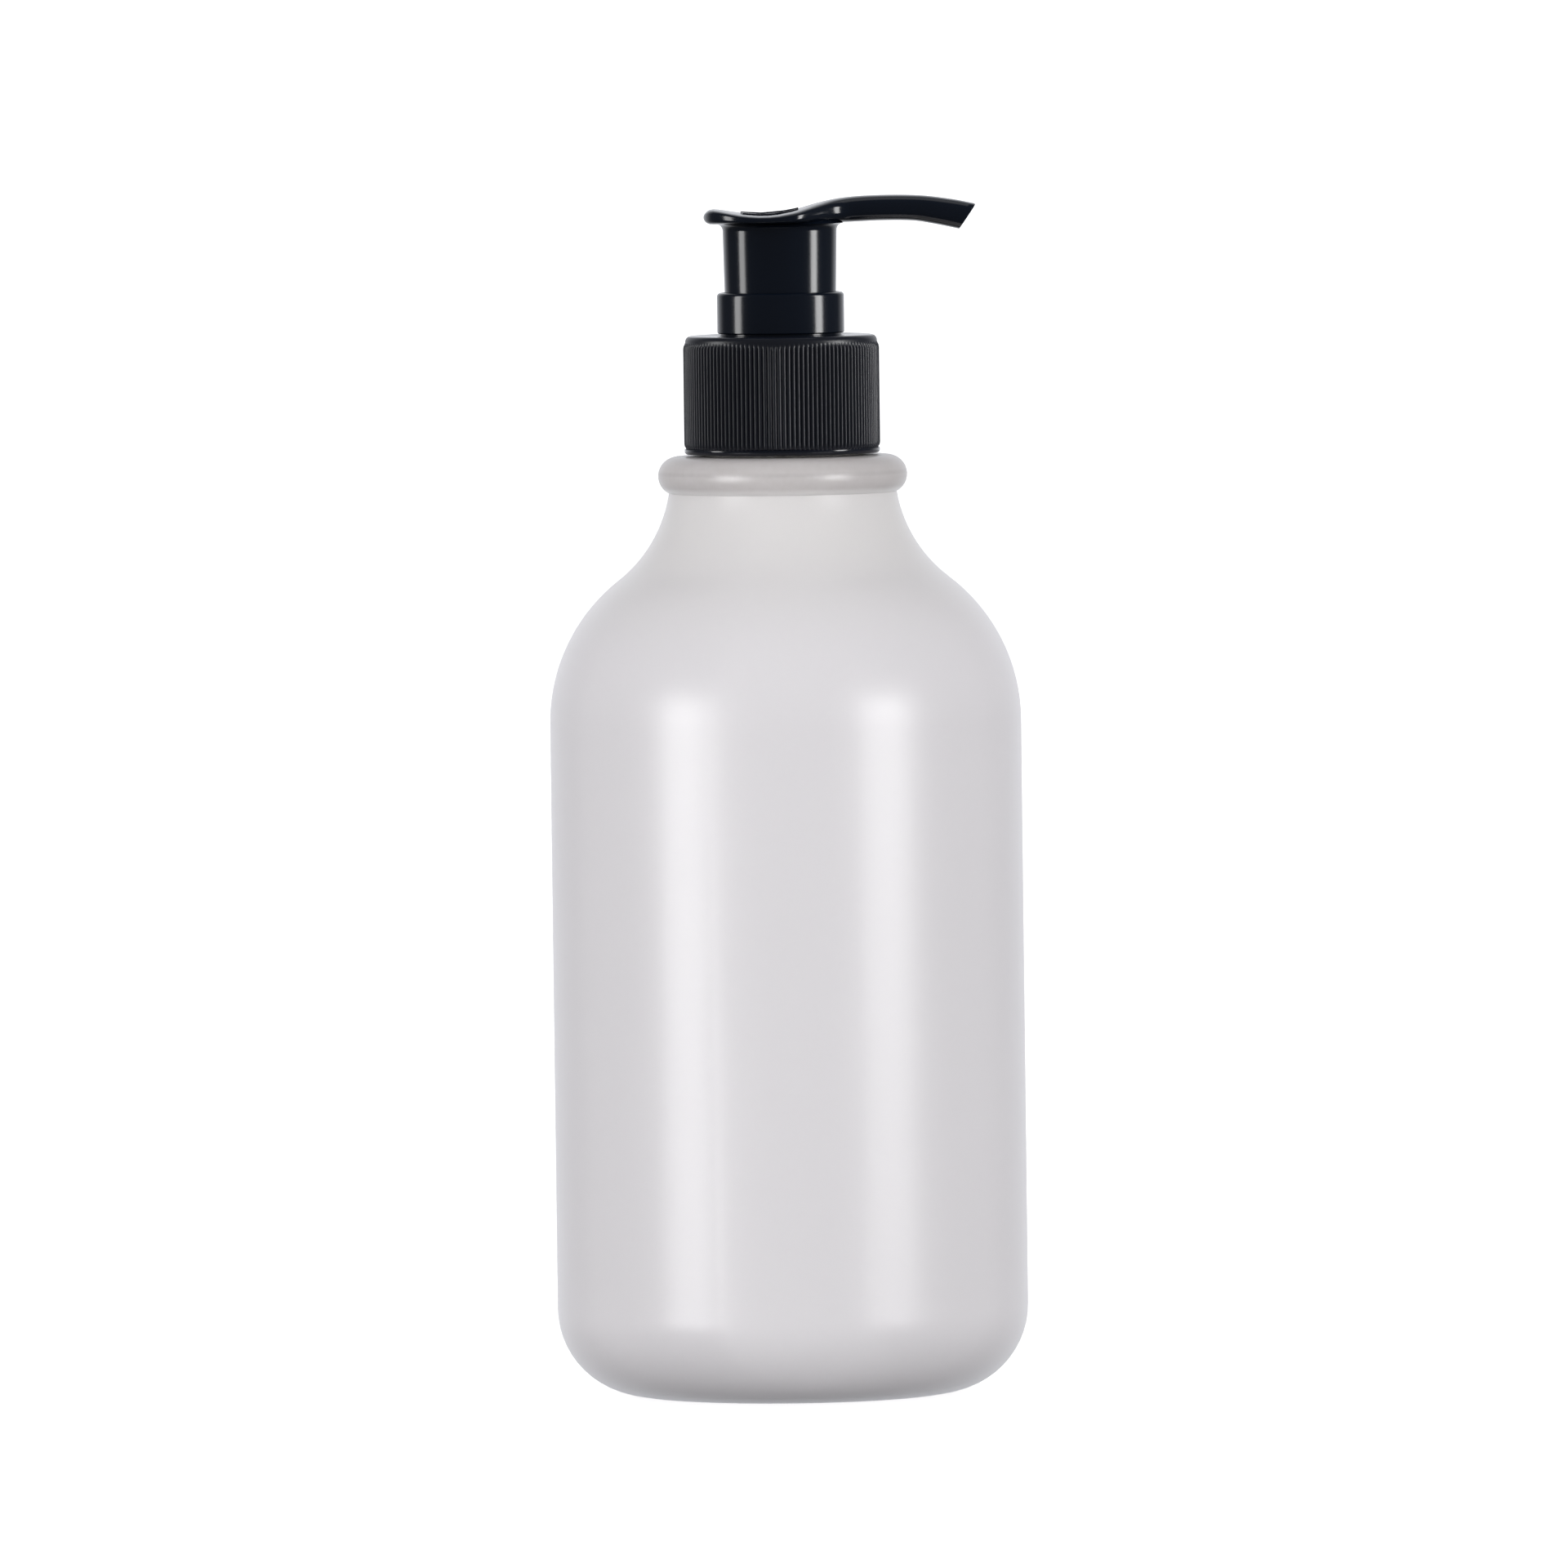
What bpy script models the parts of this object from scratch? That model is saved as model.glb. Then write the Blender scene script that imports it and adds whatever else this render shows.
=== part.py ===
"""Lotion pump bottle: a frosted milk-bottle shaped bottle with a ribbed 28-410 closure and a lotion pump.

Metres, +Z up. The origin is the centre of the ring that the bottle stands on, and the spout points along +X.
Every turned piece is an outline of (radius, height) points spun round the Z axis, which is also the axis of
every joint. Heights are worked out as a stack: bottle, neck, gasket, flange, closure, collar, head, and then
down inside the pump from the collar to the foot of the dip tube.
"""

import math

import bmesh
import bpy
from mathutils import Vector

# Clearances
SEAT = 0.0003  # between two faces that rest on each other
SNUG = 0.0001  # radial, between two pieces that are pressed together
RUN = 0.0001  # radial, between two pieces that slide or turn in each other
LOOSE = 0.0002  # radial, where a moving piece must never rub

# Bottle
BODY_RADIUS = 0.038
WALL = 0.001
BASE_CORNER_RADIUS = 0.014
STANDING_RING_WIDTH = 0.004
PUSH_UP = 0.0018
SHOULDER_HEIGHT = 0.1085
SHOULDER_RADIUS = 0.029
NECK_FLARE_RADIUS = 0.022
SHOULDER_TO_BEAD = 0.0397
BEAD_OUTER_RADIUS = 0.0201
BEAD_SECTION_RADIUS = 0.00315
NOTCH_RADIUS = 0.0184

# Neck finish
NECK_RADIUS = 0.0125
NECK_BORE_RADIUS = 0.01075
NECK_LENGTH = 0.0146
THREAD_PITCH = 0.004233
THREAD_DEPTH = 0.0012
THREAD_TURNS = 1.5
THREAD_ROOT_WIDTH = 0.0023
THREAD_CREST_WIDTH = 0.0011
THREAD_TOP_DROP = 0.0016  # from the top of the neck to the top end of the thread
THREAD_DROP = THREAD_PITCH * THREAD_TURNS + THREAD_TOP_DROP
THREAD_SUNK = 0.0004  # how far a thread's root is let into its wall

# Closure
CLOSURE_FOOT_GAP = 0.00035
CLOSURE_WALL = 0.0016
CLOSURE_PLATE = 0.0015
CLOSURE_DRAFT = 0.00015
CLOSURE_EDGE_RADIUS = 0.0009
CLOSURE_THREAD_GAP = 0.0004  # from the neck thread's crest to the closure's wall
CLOSURE_THREAD_TURNS = 1.25
CLOSURE_THREAD_ROOT_WIDTH = 0.0017
CLOSURE_THREAD_CREST_WIDTH = 0.0008
CLOSURE_THREAD_CREST_GAP = 0.0005  # from its crest to the neck's wall

# Gasket and housing
GASKET_THICKNESS = 0.001
FLANGE_THICKNESS = 0.0014
FLANGE_OVERHANG = 0.0003
CUP_GAP = 0.00025  # from the housing's cup to the neck's bore
CUP_WALL = 0.0007
CUP_FLOOR = 0.001
BARREL_BORE_RADIUS = 0.0056
BARREL_WALL = 0.0008
BALL_CHAMBER_RADIUS = 0.0029
BALL_CHAMBER_WALL = 0.0014
THROAT_RADIUS = 0.00225
THROAT_HEIGHT = 0.0008
INLET_RADIUS = 0.0016
INLET_LENGTH = 0.0008
SOCKET_DEPTH = 0.0115
SOCKET_WALL = 0.0009
VENT_RADIUS = 0.0006

# Collar
COLLAR_WALL = 0.00095
COLLAR_HEIGHT = 0.0066
COLLAR_LIP_RADIUS = 0.0006
COLLAR_THROAT_WALL = 0.00055
COLLAR_FLOOR = 0.0012
GUIDE_LENGTH = 0.008

# Head
STROKE = 0.010
PRESS_MARGIN = 0.00105  # left between the head and the collar at the end of the stroke
SKIRT_OVERLAP = 0.0023
SKIRT_WALL = 0.001
SKIRT_DRAFT = 0.00025
SKIRT_FLOOR_GAP = 0.0005
SKIRT_ROOF = 0.0017
SKIRT_JOIN = 0.0005  # how far the skirt reaches up into the saddle
SOCKET_BOSS_WALL = 0.0008
SOCKET_BOSS_RISE = 0.001
SADDLE_RADIUS = 0.01225
SPOUT_REACH = 0.0316
SPOUT_ROOT_HALF_WIDTH = 0.0042
SPOUT_TIP_HALF_WIDTH = 0.0032
SPOUT_TIP_LEAN = 0.0025  # how far the tip's upper corner reaches past its lower one
SPOUT_CHANNEL_RADIUS = 0.0012
LOCK_ANGLE = 90
LOCK_RIB_WIDTH = 0.0018
LOCK_RIB_OVERLAP = 0.0012

# Stem, rod, piston and spring
STEM_RADIUS = 0.0034
STEM_BORE_RADIUS = 0.0022
ROD_ARM_WIDTH = 0.0012
ROD_GRIP_LENGTH = 0.007
ROD_SEAT_GAP = 0.0007  # radial, from the rod's seat to the piston's sleeve
ROD_SEAT_THICKNESS = 0.0016
PISTON_SLIP = 0.001
PISTON_HUB_LENGTH = 0.0044
PISTON_HUB_WALL = 0.00085
PISTON_SLEEVE_WALL = 0.0006
PISTON_LIP_RISE = 0.0028
SPRING_LENGTH = 0.0198
SPRING_WIRE_RADIUS = 0.00042
SPRING_EDGE_GAP = 0.00018  # from the wire's outside to the edge of the rod's seat
SPRING_COILS = 8
BALL_RADIUS = 0.00238
BALL_LIFT = 0.0015
BALL_SEAT_GAP = 0.0001

# Dip tube
DIP_TUBE_RADIUS = 0.0038
DIP_TUBE_BORE_RADIUS = 0.0029
DIP_TUBE_FLOOR_GAP = 0.002
DIP_TUBE_SLANT = 0.006

# Facets round a turn
WIDE = 40
NARROW = 32

# Heights, from the bead up
BEAD_HEIGHT = SHOULDER_HEIGHT + SHOULDER_TO_BEAD
BEAD_TOP = BEAD_HEIGHT + BEAD_SECTION_RADIUS
NECK_TOP = BEAD_TOP + NECK_LENGTH
GASKET_BOTTOM = NECK_TOP + SEAT
FLANGE_BOTTOM = GASKET_BOTTOM + GASKET_THICKNESS + SEAT
FLANGE_TOP = FLANGE_BOTTOM + FLANGE_THICKNESS
PLATE_BOTTOM = FLANGE_TOP + SEAT
CLOSURE_TOP = PLATE_BOTTOM + CLOSURE_PLATE
CLOSURE_BOTTOM = BEAD_TOP + CLOSURE_FOOT_GAP
COLLAR_BOTTOM = CLOSURE_TOP + SEAT
COLLAR_TOP = COLLAR_BOTTOM + COLLAR_HEIGHT
SKIRT_BOTTOM = COLLAR_TOP - SKIRT_OVERLAP
HEAD_BOTTOM = COLLAR_TOP + STROKE + PRESS_MARGIN

# Heights, from the collar down inside the pump
COLLAR_FLOOR_TOP = SKIRT_BOTTOM - STROKE - SKIRT_FLOOR_GAP
COLLAR_FLOOR_BOTTOM = COLLAR_FLOOR_TOP - COLLAR_FLOOR
CUP_FLOOR_TOP = COLLAR_FLOOR_BOTTOM - SEAT
CUP_FLOOR_BOTTOM = CUP_FLOOR_TOP - CUP_FLOOR
GUIDE_BOTTOM = COLLAR_FLOOR_BOTTOM - GUIDE_LENGTH
PISTON_TOP = GUIDE_BOTTOM - SEAT - PISTON_SLIP
HUB_TOP = PISTON_TOP - PISTON_LIP_RISE
HUB_BOTTOM = HUB_TOP - PISTON_HUB_LENGTH
STEM_BOTTOM = HUB_TOP + PISTON_SLIP + SEAT
SOCKET_ROOF = HEAD_BOTTOM - SKIRT_ROOF
STEM_TOP = SOCKET_ROOF - SEAT
ROD_SEAT_TOP = HUB_BOTTOM - SEAT
ROD_SEAT_BOTTOM = ROD_SEAT_TOP - ROD_SEAT_THICKNESS
SPRING_TOP = ROD_SEAT_BOTTOM - SEAT
SPRING_BOTTOM = SPRING_TOP - SPRING_LENGTH
LEDGE_TOP = SPRING_BOTTOM - SEAT

# Radii that fit in or over each other, from the neck's bore inwards and outwards
CUP_OUTER = NECK_BORE_RADIUS - CUP_GAP
CUP_INNER = CUP_OUTER - CUP_WALL
THROAT_OUTER = CUP_INNER - SNUG
THROAT_INNER = THROAT_OUTER - COLLAR_THROAT_WALL
SKIRT_FOOT_RADIUS = THROAT_INNER - LOOSE
SKIRT_TOP_RADIUS = SKIRT_FOOT_RADIUS + SKIRT_DRAFT
SKIRT_INNER = SKIRT_FOOT_RADIUS - SKIRT_WALL
COLLAR_MOUTH = SKIRT_TOP_RADIUS + RUN
COLLAR_OUTER = COLLAR_MOUTH + COLLAR_WALL
CLOSURE_HOLE = THROAT_OUTER + LOOSE
NECK_THREAD_RADIUS = NECK_RADIUS + THREAD_DEPTH
CLOSURE_BORE = NECK_THREAD_RADIUS + CLOSURE_THREAD_GAP
CLOSURE_TOP_RADIUS = CLOSURE_BORE + CLOSURE_WALL
CLOSURE_FOOT_RADIUS = CLOSURE_TOP_RADIUS + CLOSURE_DRAFT
FLANGE_RADIUS = NECK_RADIUS + FLANGE_OVERHANG
STEM_SOCKET = STEM_RADIUS + SNUG
BOSS_RADIUS = STEM_SOCKET + SOCKET_BOSS_WALL
BARREL_OUTER = BARREL_BORE_RADIUS + BARREL_WALL
PISTON_RADIUS = BARREL_BORE_RADIUS - RUN
ROD_SEAT_RADIUS = PISTON_RADIUS - PISTON_SLEEVE_WALL - ROD_SEAT_GAP
SPRING_RADIUS = ROD_SEAT_RADIUS - SPRING_EDGE_GAP - SPRING_WIRE_RADIUS
TUBE_SOCKET = DIP_TUBE_RADIUS + SNUG
ROD_RADIUS = STEM_BORE_RADIUS - SNUG
PISTON_BORE = STEM_BORE_RADIUS + 2 * RUN

# Ball valve under the spring
THROAT_BOTTOM = LEDGE_TOP - THROAT_HEIGHT
BALL_SEAT_TURN = math.radians(45)
BALL_CENTRE = THROAT_BOTTOM - BALL_LIFT - BALL_RADIUS - RUN
SEAT_FOOT = BALL_CENTRE - (BALL_RADIUS + BALL_SEAT_GAP) / math.sin(BALL_SEAT_TURN) + INLET_RADIUS
SEAT_TOP = SEAT_FOOT + (BALL_CHAMBER_RADIUS - INLET_RADIUS)
TUBE_SOCKET_TOP = SEAT_FOOT - INLET_LENGTH
TUBE_SOCKET_BOTTOM = TUBE_SOCKET_TOP - SOCKET_DEPTH
DIP_TUBE_TOP = TUBE_SOCKET_TOP - SEAT
DIP_TUBE_BOTTOM = PUSH_UP + WALL + DIP_TUBE_FLOOR_GAP


def arc(centre, radius, start, end, steps):
    """Points on an arc, from the start angle to the end angle, both in radians and both included."""
    turns = [start + (end - start) * i / steps for i in range(steps + 1)]
    return [(centre[0] + radius * math.cos(a), centre[1] + radius * math.sin(a)) for a in turns]


def angle_from(centre, point):
    return math.atan2(point[1] - centre[1], point[0] - centre[0])


def outer_meeting(first, first_distance, second, second_distance):
    """The point at both distances, on the side away from the axis."""
    between = Vector(second) - Vector(first)
    along = (between.length_squared + first_distance**2 - second_distance**2) / (2 * between.length)
    aside = math.sqrt(first_distance**2 - along**2)
    unit = between.normalized()
    return Vector(first) + unit * along + Vector((unit.y, -unit.x)) * aside


def smooth_through(points, at):
    """The height at a place along X, on a smooth curve through (place, height) points."""
    last = len(points) - 2
    i = min(max(sum(1 for place, _ in points if place <= at) - 1, 0), last)
    (x0, z0), (x1, z1) = points[i], points[i + 1]
    before = points[i - 1] if i > 0 else (2 * x0 - x1, 2 * z0 - z1)
    after = points[i + 2] if i < last else (2 * x1 - x0, 2 * z1 - z0)
    slope0 = (z1 - before[1]) / (x1 - before[0])
    slope1 = (after[1] - z0) / (after[0] - x0)
    t = (at - x0) / (x1 - x0)
    width = x1 - x0
    return (
        (2 * t**3 - 3 * t**2 + 1) * z0
        + (t**3 - 2 * t**2 + t) * width * slope0
        + (3 * t**2 - 2 * t**3) * z1
        + (t**3 - t**2) * width * slope1
    )


def clear_scene():
    for obj in list(bpy.data.objects):
        bpy.data.objects.remove(obj, do_unlink=True)


def finish(bm, name, material=None):
    """Closes a bmesh off into an object with outward faces and smooth shading across gentle edges."""
    bmesh.ops.remove_doubles(bm, verts=bm.verts, dist=1e-7)
    bmesh.ops.recalc_face_normals(bm, faces=bm.faces)
    mesh = bpy.data.meshes.new(name)
    bm.to_mesh(mesh)
    bm.free()
    mesh.shade_smooth()
    mesh.set_sharp_from_angle(angle=math.radians(35))
    obj = bpy.data.objects.new(name, mesh)
    bpy.context.scene.collection.objects.link(obj)
    if material:
        mesh.materials.append(material)
    return obj


def turned(name, outline, segments, material=None):
    """Spins a closed outline of (radius, height) points round the Z axis."""
    bm = bmesh.new()
    verts = [bm.verts.new((radius, 0, height)) for radius, height in outline]
    edges = []
    for i, vert in enumerate(verts):
        following = verts[(i + 1) % len(verts)]
        if vert.co.x > 0 or following.co.x > 0:
            edges.append(bm.edges.new((vert, following)))
    bmesh.ops.spin(
        bm,
        geom=verts + edges,
        cent=(0, 0, 0),
        axis=(0, 0, 1),
        angle=math.tau,
        steps=segments,
        use_merge=True,
    )
    return finish(bm, name, material)


def skin(name, rings, material=None, closed=False):
    """Joins rings of points into one closed surface, with a cap at each end unless it closes on itself."""
    bm = bmesh.new()
    loops = [[bm.verts.new(point) for point in ring] for ring in rings]
    pairs = list(zip(loops, loops[1:]))
    if closed:
        pairs.append((loops[-1], loops[0]))
    for lower, upper in pairs:
        for i in range(len(lower)):
            j = (i + 1) % len(lower)
            bm.faces.new((lower[i], lower[j], upper[j], upper[i]))
    if not closed:
        bm.faces.new(loops[0][::-1])
        bm.faces.new(loops[-1])
    return finish(bm, name, material)


def swept_tube(name, path, radius, sides, material=None):
    """A round bar along a path, with its rings square to it."""
    rings = []
    for i, point in enumerate(path):
        ahead = Vector(path[min(i + 1, len(path) - 1)])
        behind = Vector(path[max(i - 1, 0)])
        along = (ahead - behind).normalized()
        aside = along.cross(Vector((0, 1, 0)) if abs(along.y) < 0.9 else Vector((0, 0, 1))).normalized()
        up = along.cross(aside)
        ring = []
        for k in range(sides):
            turn = math.tau * k / sides
            ring.append(Vector(point) + radius * (aside * math.cos(turn) + up * math.sin(turn)))
        rings.append(ring)
    return skin(name, rings, material)


def box(name, low, high):
    rings = [
        [(x, y, z) for x, y in ((low[0], low[1]), (high[0], low[1]), (high[0], high[1]), (low[0], high[1]))]
        for z in (low[2], high[2])
    ]
    return skin(name, rings)


def helical_ridge(name, wall, crest, wall_width, crest_width, foot, turns):
    """A right-hand thread's ridge: its root is sunk in the wall, and its ends run out into it."""
    sunk = math.copysign(THREAD_SUNK, crest - wall)
    steps = round(turns * WIDE)
    rings = []
    for i in range(steps + 1):
        turn = math.tau * turns * i / steps
        height = foot + THREAD_PITCH * turn / math.tau
        run_out = min(1, (i + 0.3) / 3, (steps - i + 0.3) / 3)
        tip = wall + (crest - wall) * run_out
        ring = []
        for radius, rise in (
            (wall - sunk, -wall_width / 2),
            (tip, -crest_width / 2),
            (tip, crest_width / 2),
            (wall - sunk, wall_width / 2),
        ):
            ring.append((radius * math.cos(turn), radius * math.sin(turn), height + rise))
        rings.append(ring)
    return skin(name, rings)


def combine(obj, helper, operation):
    """Joins a hidden helper to an object, or cuts it out of it."""
    helper.hide_render = True
    helper.display_type = "WIRE"
    helper.parent = obj
    modifier = obj.modifiers.new(helper.name, "BOOLEAN")
    modifier.operation = operation
    modifier.solver = "EXACT"
    modifier.object = helper


def set_origin(obj, height):
    """Puts an object's origin on the shared axis at a height, and leaves its surface where it is."""
    for vert in obj.data.vertices:
        vert.co.z -= height
    obj.location.z = height
    for child in obj.children:
        child.location.z -= height


def plastic(name, color, roughness, alpha=1.0, metallic=0.0):
    material = bpy.data.materials.new(name)
    material.use_nodes = True
    shader = material.node_tree.nodes["Principled BSDF"]
    shader.inputs["Base Color"].default_value = (*color, 1)
    shader.inputs["Roughness"].default_value = roughness
    shader.inputs["Metallic"].default_value = metallic
    shader.inputs["Alpha"].default_value = alpha
    return material


def bottle_side(inset):
    """The bottle's side from its base corner up to the bead, moved inwards by the inset."""
    corner = (BODY_RADIUS - BASE_CORNER_RADIUS, BASE_CORNER_RADIUS)
    shoulder = (BODY_RADIUS - SHOULDER_RADIUS, SHOULDER_HEIGHT)
    bead = (BEAD_OUTER_RADIUS - BEAD_SECTION_RADIUS, BEAD_HEIGHT)
    notch_turn = -math.acos((NOTCH_RADIUS - bead[0]) / BEAD_SECTION_RADIUS)
    notch = arc(bead, BEAD_SECTION_RADIUS, notch_turn, notch_turn, 1)[0]
    flare = outer_meeting(shoulder, SHOULDER_RADIUS + NECK_FLARE_RADIUS, notch, NECK_FLARE_RADIUS)
    shoulder_end = angle_from(shoulder, flare)
    flare_start = shoulder_end - math.pi
    flare_end = flare_start + math.remainder(angle_from(flare, notch) - flare_start, math.tau)
    side = arc(corner, BASE_CORNER_RADIUS - inset, -math.pi / 2, 0, 5)
    side += arc(shoulder, SHOULDER_RADIUS - inset, 0, shoulder_end, 5)
    side += arc(flare, NECK_FLARE_RADIUS + inset, flare_start, flare_end, 4)[1:]
    # The two inner arcs don't meet at the notch, so the bead's starts a little further round.
    bead_start = notch_turn + inset / BEAD_SECTION_RADIUS
    side += arc(bead, BEAD_SECTION_RADIUS - inset, bead_start, math.pi / 2, 5)[0 if inset else 1 :]
    return side


def bottle(material):
    ring_inner = BODY_RADIUS - BASE_CORNER_RADIUS - STANDING_RING_WIDTH
    outline = [(0, PUSH_UP), (ring_inner * 0.6, PUSH_UP), (ring_inner, 0)]
    outline += bottle_side(0)
    outline += [(NECK_RADIUS, BEAD_TOP), (NECK_RADIUS, NECK_TOP), (NECK_BORE_RADIUS, NECK_TOP)]
    outline += [(NECK_BORE_RADIUS, BEAD_TOP - WALL)]
    outline += bottle_side(WALL)[::-1]
    outline += [(ring_inner, WALL), (ring_inner * 0.6, PUSH_UP + WALL), (0, PUSH_UP + WALL)]
    obj = turned("bottle", outline, WIDE, material)
    thread = helical_ridge(
        "neck_thread",
        NECK_RADIUS,
        NECK_THREAD_RADIUS,
        THREAD_ROOT_WIDTH,
        THREAD_CREST_WIDTH,
        NECK_TOP - THREAD_DROP,
        THREAD_TURNS,
    )
    combine(obj, thread, "UNION")
    return obj


def closure(material):
    edge = CLOSURE_EDGE_RADIUS
    outline = [(CLOSURE_HOLE, PLATE_BOTTOM), (CLOSURE_BORE, PLATE_BOTTOM)]
    outline += [(CLOSURE_BORE, CLOSURE_BOTTOM), (CLOSURE_FOOT_RADIUS, CLOSURE_BOTTOM)]
    outline += arc((CLOSURE_TOP_RADIUS - edge, CLOSURE_TOP - edge), edge, 0, math.pi / 2, 3)
    outline += [(CLOSURE_HOLE, CLOSURE_TOP)]
    obj = turned("closure", outline, WIDE, material)
    flank_widths = THREAD_ROOT_WIDTH + THREAD_CREST_WIDTH + CLOSURE_THREAD_ROOT_WIDTH + CLOSURE_THREAD_CREST_WIDTH
    thread = helical_ridge(
        "closure_thread",
        CLOSURE_BORE,
        NECK_RADIUS + CLOSURE_THREAD_CREST_GAP,
        CLOSURE_THREAD_ROOT_WIDTH,
        CLOSURE_THREAD_CREST_WIDTH,
        NECK_TOP - THREAD_DROP - flank_widths / 4 - SEAT,
        CLOSURE_THREAD_TURNS,
    )
    combine(obj, thread, "UNION")
    set_origin(obj, CLOSURE_BOTTOM)
    return obj


def neck_gasket(material):
    inner = CUP_OUTER + LOOSE
    outline = [(inner, GASKET_BOTTOM), (FLANGE_RADIUS, GASKET_BOTTOM)]
    outline += [(FLANGE_RADIUS, GASKET_BOTTOM + GASKET_THICKNESS), (inner, GASKET_BOTTOM + GASKET_THICKNESS)]
    return turned("neck_gasket", outline, WIDE, material)


def housing(material):
    chamber_outer = BALL_CHAMBER_RADIUS + BALL_CHAMBER_WALL
    socket_outer = TUBE_SOCKET + SOCKET_WALL
    outline = [(FLANGE_RADIUS, FLANGE_BOTTOM), (FLANGE_RADIUS, FLANGE_TOP), (CUP_INNER, FLANGE_TOP)]
    outline += [(CUP_INNER, CUP_FLOOR_TOP), (BARREL_BORE_RADIUS, CUP_FLOOR_TOP)]
    outline += [(BARREL_BORE_RADIUS, LEDGE_TOP), (THROAT_RADIUS, LEDGE_TOP), (THROAT_RADIUS, THROAT_BOTTOM)]
    outline += [(BALL_CHAMBER_RADIUS, THROAT_BOTTOM - (BALL_CHAMBER_RADIUS - THROAT_RADIUS))]
    outline += [(BALL_CHAMBER_RADIUS, SEAT_TOP), (INLET_RADIUS, SEAT_FOOT), (INLET_RADIUS, TUBE_SOCKET_TOP)]
    outline += [(TUBE_SOCKET, TUBE_SOCKET_TOP), (TUBE_SOCKET, TUBE_SOCKET_BOTTOM)]
    outline += [(socket_outer, TUBE_SOCKET_BOTTOM), (socket_outer, SEAT_FOOT)]
    outline += [(max(chamber_outer, socket_outer), SEAT_FOOT + SOCKET_WALL)]
    outline += [(BARREL_OUTER, LEDGE_TOP - BARREL_WALL), (BARREL_OUTER, CUP_FLOOR_BOTTOM)]
    outline += [(CUP_OUTER, CUP_FLOOR_BOTTOM), (CUP_OUTER, FLANGE_BOTTOM)]
    obj = turned("housing", outline, NARROW, material)
    vent_height = (HUB_TOP + HUB_BOTTOM) / 2
    vent_ends = (BARREL_BORE_RADIUS - BARREL_WALL, BARREL_OUTER + BARREL_WALL)
    vent = swept_tube("vent_hole", [(place, 0, vent_height) for place in vent_ends], VENT_RADIUS, 8)
    combine(obj, vent, "DIFFERENCE")
    return obj


def lock_rib(name, inner, outer, low, high, angle):
    """An upright rib, LOCK_RIB_WIDTH wide, that stands across the ring between two radii."""
    rib = box(name, (inner, -LOCK_RIB_WIDTH / 2, low), (outer, LOCK_RIB_WIDTH / 2, high))
    turn = math.radians(angle)
    for vert in rib.data.vertices:
        x, y, z = vert.co
        vert.co = (x * math.cos(turn) - y * math.sin(turn), x * math.sin(turn) + y * math.cos(turn), z)
    return rib


def lock_collar(material):
    lip = COLLAR_LIP_RADIUS
    outline = [(THROAT_OUTER, COLLAR_BOTTOM), (COLLAR_OUTER, COLLAR_BOTTOM)]
    outline += arc((COLLAR_OUTER - lip, COLLAR_TOP - lip), lip, 0, math.pi / 2, 3)
    outline += [(COLLAR_MOUTH, COLLAR_TOP), (COLLAR_MOUTH, COLLAR_BOTTOM + COLLAR_WALL)]
    outline += [(THROAT_INNER, COLLAR_BOTTOM), (THROAT_INNER, COLLAR_FLOOR_TOP)]
    outline += [(STEM_RADIUS + RUN, COLLAR_FLOOR_TOP), (STEM_RADIUS + RUN, GUIDE_BOTTOM)]
    outline += [(BARREL_BORE_RADIUS - SNUG, GUIDE_BOTTOM), (BARREL_BORE_RADIUS - SNUG, COLLAR_FLOOR_BOTTOM)]
    outline += [(THROAT_OUTER, COLLAR_FLOOR_BOTTOM)]
    obj = turned("lock_collar", outline, WIDE, material)
    rib_inner = BOSS_RADIUS + LOOSE
    rib_outer = SKIRT_INNER - LOOSE
    key_inner = (rib_inner + rib_outer) / 2
    # The ribs stop the head's key with its side against theirs, so they stand one rib's angle beyond its travel.
    beyond = math.degrees((LOCK_RIB_WIDTH + SEAT) / key_inner)
    foot = COLLAR_FLOOR_TOP - COLLAR_FLOOR / 2
    for name, angle in (("open_stop", 180 + beyond), ("lock_stop", 180 - LOCK_ANGLE - beyond)):
        top = SKIRT_BOTTOM + LOCK_RIB_OVERLAP
        combine(obj, lock_rib(name, rib_inner, rib_outer, foot, top, angle), "UNION")
    set_origin(obj, COLLAR_BOTTOM)
    return obj


def head_stations():
    """Places along the head, closer together where its rear lip and its tip curve."""
    rear = [-SADDLE_RADIUS * share for share in (0.995, 0.96, 0.88, 0.7, 0.4)]
    spout = [SPOUT_REACH * i / 12 for i in range(13)]
    return rear + spout


def head_width(place):
    """Half the head's width in plan: a round thumb saddle that narrows in a smooth curve to the spout."""
    saddle = math.sqrt(max(SADDLE_RADIUS**2 - place**2, 0))
    taper = SPOUT_TIP_HALF_WIDTH - SPOUT_ROOT_HALF_WIDTH
    spout = SPOUT_ROOT_HALF_WIDTH + taper * max(place, 0) / SPOUT_REACH
    narrowing = min(max((place - 0.002) / 0.011, 0), 1)
    blend = narrowing * narrowing * (3 - 2 * narrowing)
    return saddle if place <= 0 else (1 - blend) * max(saddle, spout) + blend * spout


def head_top(place):
    """Height of the head's top line over its plate: a dished saddle that swells into an arched spout."""
    rear = -SADDLE_RADIUS
    line = [(rear, 0.0022), (rear + 0.0018, 0.0024), (-0.006, 0.0017), (-0.002, 0.0015), (0.0024, 0.0021)]
    line += [(0.0061, 0.0032), (0.0098, 0.0040), (0.0153, 0.0044), (0.0227, 0.0043), (0.0282, 0.0036)]
    line += [(SPOUT_REACH, 0.0029)]
    return HEAD_BOTTOM + smooth_through(line, place)


def head_under(place):
    """Height of the head's underside: flat under the saddle, then arched under the spout."""
    line = [(-SADDLE_RADIUS, 0), (0.005, 0), (0.011, 0.0001), (0.0171, 0.0003), (0.0227, 0.0002)]
    line += [(0.0263, -0.0003), (SPOUT_REACH, -0.0012)]
    return HEAD_BOTTOM + smooth_through(line, place)


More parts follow.
